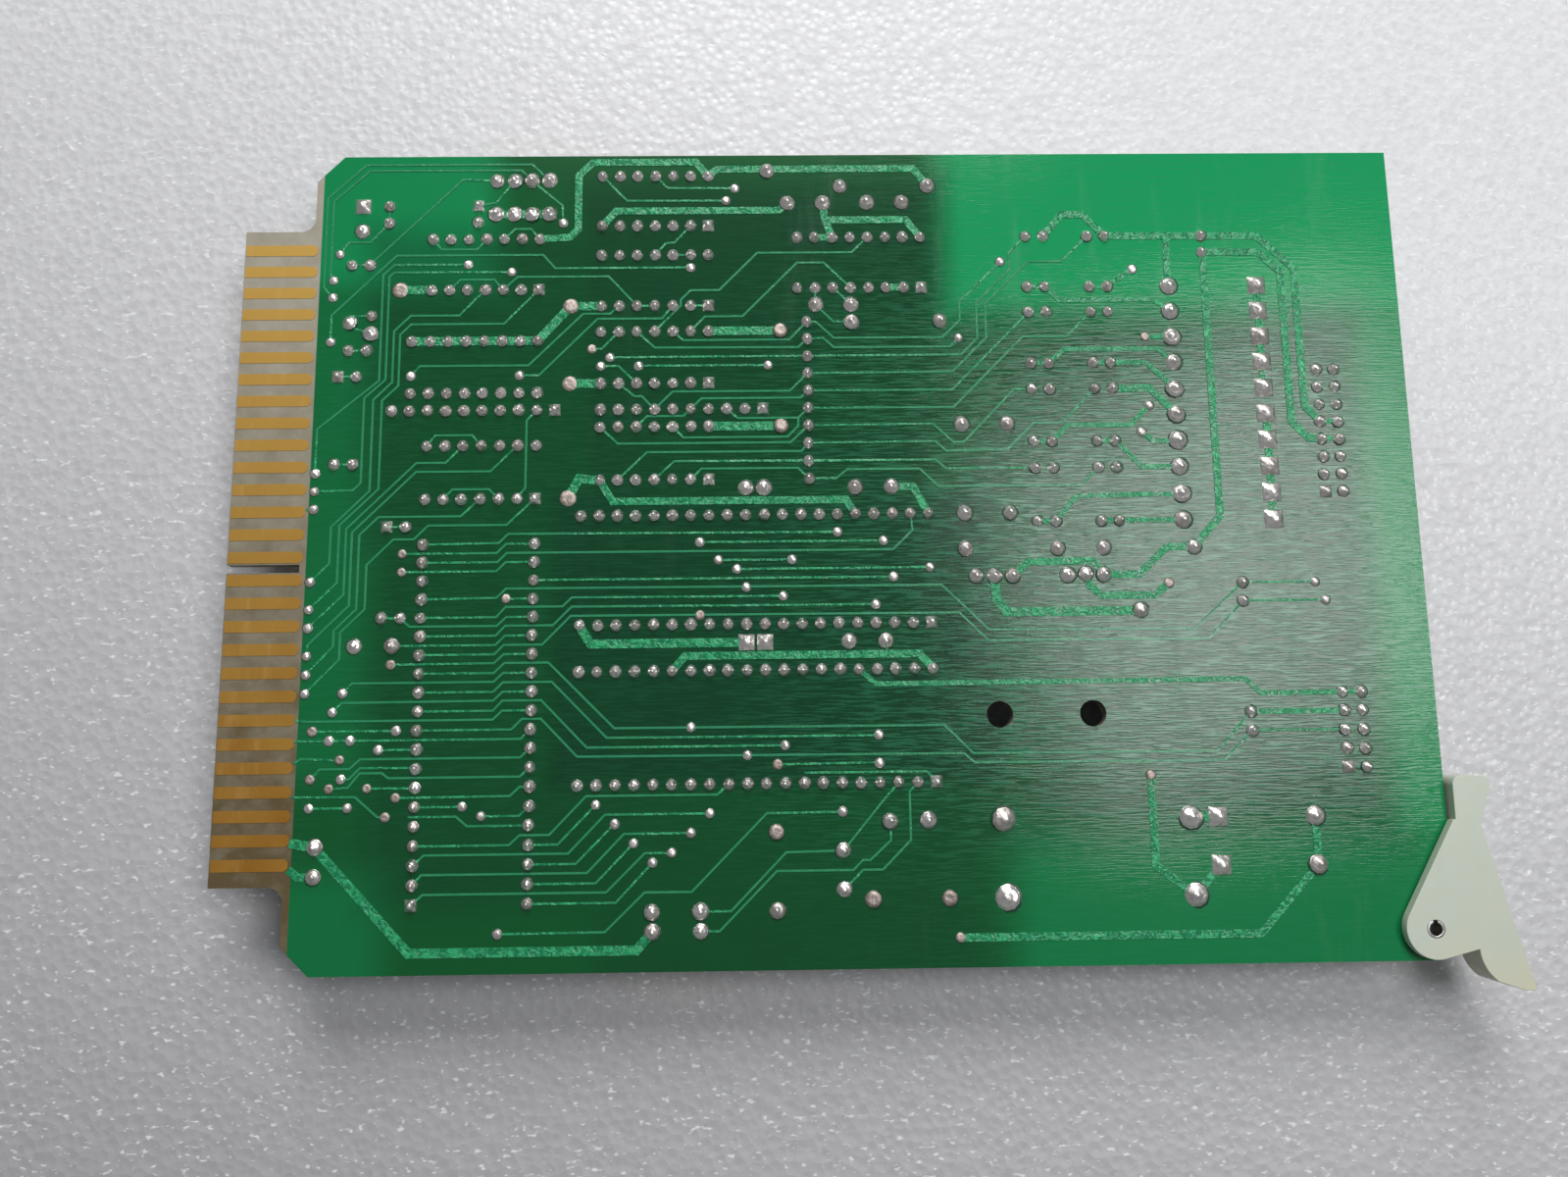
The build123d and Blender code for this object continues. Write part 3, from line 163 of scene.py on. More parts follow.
class EffectGroups:
    """The shader effects that several finishes share, each a node group built once."""

    thread_run: float = 0.07
    knot_lean: float = 0.4
    knot_height: float = 0.4
    scratch_turn: float = 0.5
    scratch_run: float = 0.12

    def __init__(self) -> None:
        """Build every group."""
        self.mottle = self._mottle()
        self.weave = self._weave()
        self.patch = self._patch()
        self.scuff = self._scuff()

    @staticmethod
    def _start(
        name: str, inputs: dict[str, str], output: str
    ) -> tuple[bpy.types.NodeTree, Graph, bpy.types.Node, bpy.types.Node]:
        """Open a node group with named inputs and one value output.

        Args:
            name: The group's name.
            inputs: Socket type of each input, by name.
            output: Name of the value output.

        Returns:
            The group, its graph, its input node and its output node.
        """
        group = bpy.data.node_groups.new(name, "ShaderNodeTree")
        for label, kind in inputs.items():
            group.interface.new_socket(name=label, in_out="INPUT", socket_type=kind)
        group.interface.new_socket(name=output, in_out="OUTPUT", socket_type="NodeSocketFloat")
        graph = Graph(group)
        source = group.nodes.new("NodeGroupInput")
        target = group.nodes.new("NodeGroupOutput")
        return group, graph, source, target

    def _mottle(self) -> bpy.types.NodeTree:
        """Make soft blotches between two levels.

        Returns:
            The group.
        """
        group, graph, source, target = self._start(
            "mottle",
            {"Vector": "NodeSocketVector", "Scale": "NodeSocketFloat", "Low": "NodeSocketFloat",
             "High": "NodeSocketFloat"},
            "Value",
        )
        noise = graph.add(
            "TexNoise",
            {"Vector": source.outputs["Vector"], "Scale": source.outputs["Scale"], "Detail": 4.0,
             "Roughness": 0.6},
        )
        spread = graph.ramp(noise.outputs[0], 0.3, 0.7, source.outputs["Low"], source.outputs["High"])
        graph.feed(target, "Value", spread)
        return group

    def _weave(self) -> bpy.types.NodeTree:
        """Draw the threads of glass cloth that show through along the card, as a height.

        Returns:
            The group.
        """
        group, graph, source, target = self._start(
            "glass_weave", {"Vector": "NodeSocketVector", "Pitch": "NodeSocketFloat"}, "Height"
        )
        place = source.outputs["Vector"]
        turns = graph.math("DIVIDE", 1.0, source.outputs["Pitch"])
        drawn = graph.add("VectorMath", {0: place, 1: (self.thread_run, 1.0, 1.0)}, operation="MULTIPLY")
        threads = graph.add(
            "TexNoise", {"Vector": drawn.outputs[0], "Scale": turns, "Detail": 2.0, "Roughness": 0.6}
        )
        crossing = graph.add("VectorMath", {0: place, 1: (1.0, self.knot_lean, 1.0)}, operation="MULTIPLY")
        knots = graph.add("TexNoise", {"Vector": crossing.outputs[0], "Scale": turns, "Detail": 1.0})
        ridges = graph.ramp(threads.outputs[0], 0.40, 0.60)
        graph.feed(target, "Height", graph.math("MULTIPLY_ADD", knots.outputs[0], self.knot_height, ridges))
        return group

    def _patch(self) -> bpy.types.NodeTree:
        """Make a soft-edged rectangle on the card.

        Returns:
            The group.
        """
        group, graph, source, target = self._start(
            "patch",
            {"Vector": "NodeSocketVector", "Centre": "NodeSocketVector", "Half": "NodeSocketVector",
             "Edge": "NodeSocketFloat"},
            "Mask",
        )
        offset = graph.add(
            "VectorMath", {0: source.outputs["Vector"], 1: source.outputs["Centre"]}, operation="SUBTRACT"
        )
        reach = graph.add("VectorMath", {0: offset.outputs[0]}, operation="ABSOLUTE")
        over = graph.add("VectorMath", {0: source.outputs["Half"], 1: reach.outputs[0]}, operation="SUBTRACT")
        split = graph.add("SeparateXYZ", {0: over.outputs[0]})
        inside = graph.math("MINIMUM", split.outputs["X"], split.outputs["Y"])
        scaled = graph.math("DIVIDE", inside, source.outputs["Edge"])
        soft = graph.add("MapRange", {0: scaled, 1: -0.5, 2: 0.5}, interpolation_type="SMOOTHSTEP")
        graph.feed(target, "Mask", soft.outputs[0])
        return group

    def _scuff(self) -> bpy.types.NodeTree:
        """Draw fine scratches and dust, as a mask.

        Returns:
            The group.
        """
        group, graph, source, target = self._start(
            "scuff",
            {"Vector": "NodeSocketVector", "Scale": "NodeSocketFloat", "Amount": "NodeSocketFloat"},
            "Mask",
        )
        stretched = graph.add(
            "Mapping",
            {"Vector": source.outputs["Vector"], "Scale": (1.0, self.scratch_run, 1.0),
             "Rotation": (0.0, 0.0, self.scratch_turn)},
        )
        streaks = graph.add(
            "TexNoise",
            {"Vector": stretched.outputs[0], "Scale": source.outputs["Scale"], "Detail": 6.0,
             "Roughness": 0.7},
        )
        sparse = graph.ramp(streaks.outputs[0], 0.56, 0.72)
        graph.feed(target, "Mask", graph.math("MULTIPLY", sparse, source.outputs["Amount"]))
        return group


class Paint(Graph):
    """One material with its shader, and the shared effects at hand."""

    groups: EffectGroups

    def __init__(self, name: str) -> None:
        """Make a material with a bare shader.

        Args:
            name: The material's name.
        """
        self.material = bpy.data.materials.new(name)
        self.material.use_nodes = True
        super().__init__(self.material.node_tree)
        self.tree.nodes.clear()
        self.shader = self.add("BsdfPrincipled")
        self.output = self.add("OutputMaterial")
        self.tree.links.new(self.shader.outputs[0], self.output.inputs[0])
        self.place = self.add("TexCoord").outputs["Object"]
        self.split = self.add("SeparateXYZ", {0: self.place})

    def set(self, **values: object) -> None:
        """Fill shader inputs, with underscores standing for spaces."""
        for name, value in values.items():
            self.feed(self.shader, name.replace("_", " "), value)

    def along(self, axis: Axis) -> bpy.types.NodeSocket:
        """Give one coordinate of the surface point."""
        return self.split.outputs[axis.value]

    def noise(self, scale: float, detail: float = 2.0, distortion: float = 0.0) -> bpy.types.NodeSocket:
        """Give a noise value that runs over the surface."""
        inputs = {"Vector": self.place, "Scale": scale, "Detail": detail, "Distortion": distortion}
        return self.add("TexNoise", inputs).outputs[0]

    def effect(self, group: bpy.types.NodeTree, **values: object) -> bpy.types.NodeSocket:
        """Place a shared effect with its own values.

        Args:
            group: The effect's node group.
            values: What goes into its inputs, by name.

        Returns:
            The effect's output socket.
        """
        node = self.add("Group", node_tree=group)
        self.feed(node, "Vector", self.place)
        for name, value in values.items():
            self.feed(node, name, value)
        return node.outputs[0]

    def mottle(self, scale: float, low: float, high: float) -> bpy.types.NodeSocket:
        """Give soft blotches between two levels."""
        return self.effect(self.groups.mottle, Scale=scale, Low=low, High=high)

    def bump(self, height: object, strength: float, distance: float) -> None:
        """Raise the surface by a height.

        Args:
            height: The socket that holds the height.
            strength: How much of it shows, from 0 to 1.
            distance: How far a height of 1 rises, in metres.
        """
        node = self.add("Bump", {"Strength": strength, "Distance": distance, "Height": height})
        self.feed(self.shader, "Normal", node.outputs[0])


class Ground(Enum):
    """Rectangles of copper on the hidden side, painted darker as shade where the copper keeps the light from
    coming through the laminate: u range, v range and strength.
    """

    UPPER = (18.6, 39.2, 24.0, 43.4, 0.80)
    MIDDLE = (17.0, 42.0, 8.8, 26.0, 0.95)
    RIGHT = (34.0, 62.4, 6.0, 36.0, 0.50)
    LOGIC = (7.0, 21.4, 22.0, 40.6, 0.55)
    LOWER = (8.0, 23.0, 3.4, 24.4, 0.55)
    FILTERS = (20.0, 40.0, -2.0, 10.0, 0.45)


class Clearing(Enum):
    """Rectangles with no copper on the hidden side, painted brighter to stand for the light that comes
    through the laminate.
    """

    TOP_RIGHT = (39.0, 70.0, 35.0, 50.0, 0.9)
    RIGHT_STRIP = (62.0, 70.0, 6.0, 40.0, 0.6)
    TOP_LEFT = (0.0, 14.0, 37.0, 50.0, 0.6)
    LEFT_STRIP = (0.0, 7.6, 10.0, 50.0, 0.2)
    BOTTOM_LEFT = (0.0, 9.0, -4.0, 5.0, 0.3)
    BOTTOM_RIGHT = (42.0, 70.0, -6.0, 7.6, 0.4)


@dataclass(frozen=True)
class MaskedLaminate:
    """Glossy green solder mask over the glass laminate, bare along the tongue."""

    plain: Colour = (0.0007, 0.096, 0.021)
    # bright is painted light, where light would come through the laminate with no copper behind it
    bright: Colour = (0.002, 0.36, 0.115)
    # deep is painted shade over the copper on the hidden side
    deep: Colour = (0.0006, 0.044, 0.015)
    # Colour of the painted glints along the weave threads
    thread_glint: Colour = (0.04, 0.26, 0.13)
    bare: Colour = (0.42, 0.39, 0.31)
    # Colour that the bare tongue darkens to towards the lower edge
    lower_brown: Colour = (0.12, 0.085, 0.035)
    mask_start: float = 4.22 * GRID
    mask_edge: float = 0.1 * MM
    plane_edge: float = 8.0 * MM
    thread_pitch: float = 0.24 * MM
    thread_height: float = 0.011 * MM
    mask_roughness: float = 0.14
    bare_roughness: float = 0.49

    def _spread(self, paint: Paint, zones: type[Enum]) -> bpy.types.NodeSocket:
        """Work out how much of each place a set of soft rectangles covers.

        Args:
            paint: The material that gains the nodes.
            zones: Rectangles as u range, v range and strength.

        Returns:
            The socket of the strongest rectangle at each place.
        """
        total = None
        for zone in zones:
            low_u, high_u, low_v, high_v, strength = zone.value
            middle = on_card((low_u + high_u) / 2, (low_v + high_v) / 2, 0)
            half = ((high_u - low_u) / 2 * GRID, (high_v - low_v) / 2 * GRID, 1.0)
            mask = paint.effect(Paint.groups.patch, Centre=tuple(middle), Half=half, Edge=self.plane_edge)
            mask = paint.math("MULTIPLY", mask, strength)
            total = mask if total is None else paint.math("MAXIMUM", total, mask)
        return total

    def material(self) -> bpy.types.Material:
        """Build the material.

        Returns:
            The material.
        """
        paint = Paint("masked_laminate")
        # Painted shade over the hidden copper, mottled.
        shadow = paint.math("MULTIPLY", self._spread(paint, Ground), paint.mottle(120.0, 0.80, 1.0))
        # Painted light: the clearings turn brighter, as if lit through the laminate.
        green = paint.colours(self._spread(paint, Clearing), self.plain, self.bright)
        green = paint.colours(shadow, green, self.deep)
        weave = paint.effect(Paint.groups.weave, Pitch=self.thread_pitch)
        # Painted glints: lighter thread lines where the lamp's sheen falls on the weave, kept to that zone.
        inward = paint.ramp(paint.along(Axis.X), 26 * GRID, 42 * GRID, 0.15, 1.0)
        above = paint.ramp(paint.along(Axis.Y), -50 * MM, -30 * MM, 0.15, 1.0)
        below = paint.ramp(paint.along(Axis.Y), 24 * MM, 44 * MM, 1.0, 0.3)
        sheen_zone = paint.math("MULTIPLY", inward, paint.math("MULTIPLY", above, below))
        threads = paint.math("MULTIPLY", paint.ramp(weave, 0.55, 1.15, 0.0, 0.55), sheen_zone)
        green = paint.colours(threads, green, self.thread_glint)
        # The bare tongue turns darker and browner towards the card's lower edge.
        low = paint.ramp(paint.along(Axis.Y), -44 * MM, 40 * MM, 0.9, 0.0)
        amber = paint.math("ADD", low, paint.mottle(300.0, -0.1, 0.25))
        uncoated = paint.colours(amber, self.bare, self.lower_brown)
        past_edge = paint.ramp(paint.along(Axis.X), self.mask_start, self.mask_start + self.mask_edge)
        depth = paint.math("ABSOLUTE", paint.along(Axis.Z))
        on_face = paint.ramp(depth, SOLDER_FACE - 0.02 * MM, SOLDER_FACE - 0.01 * MM)
        masked = paint.math("MULTIPLY", past_edge, on_face)
        paint.set(Base_Color=paint.colours(masked, uncoated, green), IOR=1.46)
        worn = paint.effect(Paint.groups.scuff, Scale=220.0, Amount=0.12)
        clean = paint.ramp(masked, 0.0, 1.0, self.bare_roughness, self.mask_roughness)
        paint.set(Roughness=paint.math("ADD", worn, clean))
        uneven = paint.math("MULTIPLY_ADD", paint.noise(1500.0), 0.35, weave)
        paint.bump(paint.math("MULTIPLY", uneven, sheen_zone), 1.0, self.thread_height)
        return paint.material


@dataclass(frozen=True)
class MaskedCopper:
    """Copper under the mask, brighter and wrinkled where the run is wide, the wrinkles' crests carrying
    painted highlights and their valleys painted shade.
    """

    narrow: Colour = (0.02, 0.25, 0.105)
    pale: Colour = (0.05, 0.34, 0.16)
    # wide is the painted highlight on the crests of wide runs
    wide: Colour = (0.04, 0.44, 0.175)
    valley_shade: Colour = (0.006, 0.20, 0.08)
    wrinkle_height: float = 0.12 * MM

    def material(self) -> bpy.types.Material:
        """Build the material.

        Returns:
            The material.
        """
        paint = Paint("masked_copper")
        breadth = paint.add("Attribute", attribute_name="breadth").outputs["Fac"]
        broad = paint.ramp(breadth, 0.35, 0.95)
        wrinkle = paint.noise(1150.0, distortion=1.2)
        # Painted highlights on the wrinkles' crests and painted shade in their valleys.
        crest = paint.ramp(wrinkle, 0.38, 0.66)
        wrinkled = paint.colours(crest, self.valley_shade, self.wide)
        plain = paint.colours(paint.mottle(500.0, 0.0, 0.5), self.narrow, self.pale)
        paint.set(Base_Color=paint.colours(broad, plain, wrinkled), IOR=1.46)
        paint.set(Roughness=paint.ramp(wrinkle, 0.3, 0.7, 0.14, 0.30))
        swell = paint.ramp(breadth, 0.25, 0.95, 0.12, 1.0)
        paint.bump(paint.math("MULTIPLY", crest, swell), 0.8, self.wrinkle_height)
        return paint.material


@dataclass(frozen=True)
class SolderMetal:
    """Wave solder, bright with tarnished patches, its tone set for each joint."""

    bright: Colour = (0.88, 0.84, 0.81)
    tarnished: Colour = (0.40, 0.33, 0.29)
    lump_height: float = 0.4 * MM

    def material(self) -> bpy.types.Material:
        """Build the material.

        Returns:
            The material.
        """
        paint = Paint("solder_metal")
        tone = paint.add("Attribute", attribute_name="tone").outputs["Fac"]
        patches = paint.mottle(1500.0, -0.15, 0.30)
        darkening = paint.add("Clamp", {0: paint.math("ADD", tone, patches)}).outputs[0]
        paint.set(Base_Color=paint.colours(darkening, self.bright, self.tarnished), Metallic=1.0)
        paint.set(Roughness=paint.math("MULTIPLY_ADD", tone, 0.3, 0.33))
        paint.bump(paint.noise(1000.0), 0.6, self.lump_height)
        return paint.material


@dataclass(frozen=True)
class FluxAndShadeRing:
    """Dark flux and mask edge round each joint, with painted shade at the joint's foot."""

    dark: Colour = (0.006, 0.035, 0.018)
    light: Colour = (0.02, 0.09, 0.04)

    def material(self) -> bpy.types.Material:
        """Build the material.

        Returns:
            The material.
        """
        paint = Paint("flux_and_shade_ring")
        # Painted shade and dark flux round the joint's foot.
        paint.set(Base_Color=paint.colours(paint.mottle(900.0, 0.0, 0.5), self.dark, self.light))
        paint.set(Roughness=paint.mottle(700.0, 0.25, 0.5))
        return paint.material


@dataclass(frozen=True)
class PlatedContact:
    """Gold plating over nickel, worn in fine scuffs, and browner towards the lower contacts."""

    gold: Colour = (0.70, 0.42, 0.09)
    brown: Colour = (0.36, 0.155, 0.014)
    rubbed: Colour = (0.72, 0.50, 0.20)
    name: str = "plated_contact"

    def material(self) -> bpy.types.Material:
        """Build the material.

        Returns:
            The material.
        """
        paint = Paint(self.name)
        fall = paint.ramp(paint.along(Axis.Y), -44 * MM, 44 * MM, 1.0, 0.0)
        # Browner towards the card's lower edge, unevenly.
        darkening = paint.math("MULTIPLY", fall, paint.mottle(140.0, 0.75, 1.05))
        worn = paint.effect(Paint.groups.scuff, Scale=500.0, Amount=0.25)
        plated = paint.colours(darkening, self.gold, self.brown)
        paint.set(Base_Color=paint.colours(worn, plated, self.rubbed), Metallic=0.35)
        paint.set(Roughness=paint.math("MULTIPLY_ADD", worn, 0.2, 0.36))
        paint.bump(paint.mottle(800.0, 0.0, 1.0), 0.15, 0.02 * MM)
        return paint.material


@dataclass(frozen=True)
class Moulding:
    """A moulded or coated plastic surface with fine grain and handling marks."""

    name: str
    colour: Colour
    shade: Colour
    roughness: float = 0.5
    grain: float = 2600.0
    depth: float = 0.03 * MM
    dust: Colour = (0.5, 0.5, 0.48)

    def material(self) -> bpy.types.Material:
        """Build the material.

        Returns:
            The material.
        """
        paint = Paint(self.name)
        body = paint.colours(paint.mottle(180.0, 0.0, 0.7), self.colour, self.shade)
        dusty = paint.effect(Paint.groups.scuff, Scale=260.0, Amount=0.35)
        paint.set(Base_Color=paint.colours(dusty, body, self.dust))
        paint.set(Roughness=paint.mottle(600.0, self.roughness - 0.08, self.roughness + 0.1))
        paint.bump(paint.noise(self.grain), 0.35, self.depth)
        return paint.material


@dataclass(frozen=True)
class BrushedMetal:
    """Tinned, brushed or drawn metal."""

    name: str
    colour: Colour
    roughness: float = 0.32
    streak_shade: float = 0.6

    def material(self) -> bpy.types.Material:
        """Build the material.

        Returns:
            The material.
        """
        paint = Paint(self.name)
        streak = paint.effect(Paint.groups.scuff, Scale=900.0, Amount=0.7)
        darker = tuple(self.streak_shade * part for part in self.colour)
        paint.set(Base_Color=paint.colours(streak, self.colour, darker), Metallic=1.0)
        paint.set(Roughness=paint.mottle(900.0, self.roughness - 0.08, self.roughness + 0.12))
        paint.bump(streak, 0.2, 0.02 * MM)
        return paint.material


@dataclass(frozen=True)
class EjectorNylon:
    """Off-white nylon that lets some light through, yellowed towards the toe."""

    fresh: Colour = (0.60, 0.66, 0.57)
    yellowed: Colour = (0.70, 0.66, 0.48)
    light_reach: Point = (4.0 * MM, 3.6 * MM, 2.6 * MM)

    def material(self) -> bpy.types.Material:
        """Build the material.

        Returns:
            The material.
        """
        paint = Paint("ejector_nylon")
        low = paint.ramp(paint.along(Axis.Y), -61 * MM, -54 * MM, 0.65, 0.0)
        inner = paint.ramp(paint.mottle(160.0, 0.0, 1.0), 0.2, 1.0, 0.0, 0.3)
        age = paint.math("ADD", low, inner)
        paint.set(Base_Color=paint.colours(age, self.fresh, self.yellowed), Subsurface_Weight=0.5)
        paint.set(Subsurface_Radius=self.light_reach, IOR=1.53)
        scuffed = paint.effect(Paint.groups.scuff, Scale=240.0, Amount=0.25)
        paint.set(Roughness=paint.math("ADD", scuffed, 0.38))
        paint.bump(paint.mottle(420.0, 0.0, 1.0), 0.25, 0.04 * MM)
        return paint.material


@dataclass(frozen=True)
class BenchTop:
    """Pale sparkling sheet that the card lies on, with painted shade darker towards -Y and -X and painted
    glints for its sparkle.
    """

    pale: Colour = (0.84, 0.84, 0.86)
    floor_shade: Colour = (0.36, 0.355, 0.36)
    glint_colour: Colour = (0.92, 0.92, 0.93)
    grit: Colour = (0.30, 0.30, 0.31)
    dimple_depth: float = 0.3 * MM

    def material(self) -> bpy.types.Material:
        """Build the material.

        Returns:
            The material.
        """
        paint = Paint("bench_top")
        # Painted shade: the sheet darkens towards -Y and -X.
        slant = paint.math("MULTIPLY_ADD", paint.along(Axis.X), 0.35, paint.along(Axis.Y))
        sheet = paint.colours(paint.ramp(slant, -0.16, 0.10), self.floor_shade, self.pale)
        # Darker again far out along +Y.
        sheet = paint.colours(paint.ramp(paint.along(Axis.Y), 0.16, 0.45, 0.0, 0.85), sheet, self.floor_shade)
        cell = paint.add("TexVoronoi", {"Vector": paint.place, "Scale": 700.0})
        # Painted glints: short bright specks mixed into the colour for the sheet's sparkle.
        drawn = paint.add("Mapping", {"Vector": paint.place, "Scale": (0.55, 1.0, 1.0)}).outputs[0]
        speck = paint.add("TexNoise", {"Vector": drawn, "Scale": 1600.0, "Detail": 1.0}).outputs[0]
        glint = paint.math("MULTIPLY", paint.ramp(speck, 0.64, 0.74), 0.9)
        grain = paint.colours(paint.mottle(650.0, 0.0, 0.20), sheet, self.grit)
        paint.set(Base_Color=paint.colours(glint, grain, self.glint_colour))
        paint.set(Roughness=paint.ramp(cell.outputs["Distance"], 0.1, 0.7, 0.25, 0.6))
        paint.bump(cell.outputs["Distance"], 0.5, self.dimple_depth)
        below = paint.add("NewGeometry").outputs["Backfacing"]
        clear = paint.add("BsdfTransparent").outputs[0]
        seen = paint.add("MixShader", {0: below, 1: paint.shader.outputs[0], 2: clear})
        paint.feed(paint.output, "Surface", seen.outputs[0])
        return paint.material


def merged_copy(node: str) -> bmesh.types.BMesh:
    """Copy a CAD node's mesh with its loose triangles joined and its flat faces whole.

    Args:
        node: The CAD node's name.

    Returns:
        A new bmesh, to be freed by whoever asked for it.
    """
    shape = bmesh.new()
    shape.from_mesh(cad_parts[node].data)
    bmesh.ops.remove_doubles(shape, verts=shape.verts, dist=0.001 * MM)
    bmesh.ops.dissolve_limit(shape, angle_limit=math.radians(1), verts=shape.verts, edges=shape.edges)
    return shape


def finish_piece(
    shape: bmesh.types.BMesh, name: str, body: str, materials: list[bpy.types.Material], node: str
) -> None:
    """Turn a bmesh into a piece that rides on a body and stands for a CAD node.

    Args:
        shape: The finished shape, freed here.
        name: The piece's name.
        body: The CAD body that carries it.
        materials: The materials, in the order of the shape's material numbers.
        node: The CAD node that it stands for.
    """
    mesh = bpy.data.meshes.new(name)
    shape.to_mesh(mesh)
    shape.free()
    for material in materials:
        mesh.materials.append(material)
    piece = bpy.data.objects.new(name, mesh)
    bpy.context.scene.collection.objects.link(piece)
    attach(piece, body)
    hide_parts(node)
    LOG.info("%s: %d faces", name, len(mesh.polygons))


def islands(shape: bmesh.types.BMesh) -> list[list[bmesh.types.BMVert]]:
    """Split a shape into its separate solids.

    Args:
        shape: The shape to split.

    Returns:
        The vertices of each solid.
    """
    seen: set[bmesh.types.BMVert] = set()
    found = []
    for start in shape.verts:
        if start in seen:
            continue
        seen.add(start)
        queue, members = [start], []
        while queue:
            vertex = queue.pop()
            members.append(vertex)
            for edge in vertex.link_edges:
                other = edge.other_vert(vertex)
                if other not in seen:
                    seen.add(other)
                    queue.append(other)
        found.append(members)
    return found


def turned_profile(profile: list[Spot], sides: int) -> bmesh.types.BMesh:
    """Spin a profile of radius and height into a closed-topped shape.

    Args:
        profile: Radius and height of each point, ending on the axis.
        sides: How many sides the turned shape has.

    Returns:
        The turned shape as a new bmesh.
    """
    shape = bmesh.new()
    points = [shape.verts.new((radius, 0.0, height)) for radius, height in profile]
    edges = [shape.edges.new(pair) for pair in zip(points, points[1:])]
    bmesh.ops.spin(
        shape, geom=points + edges, cent=(0, 0, 0), axis=(0, 0, 1), angle=2 * math.pi, steps=sides,
        use_merge=True,
    )
    bmesh.ops.remove_doubles(shape, verts=shape.verts, dist=0.0001)
    bmesh.ops.recalc_face_normals(shape, faces=shape.faces)
    return shape


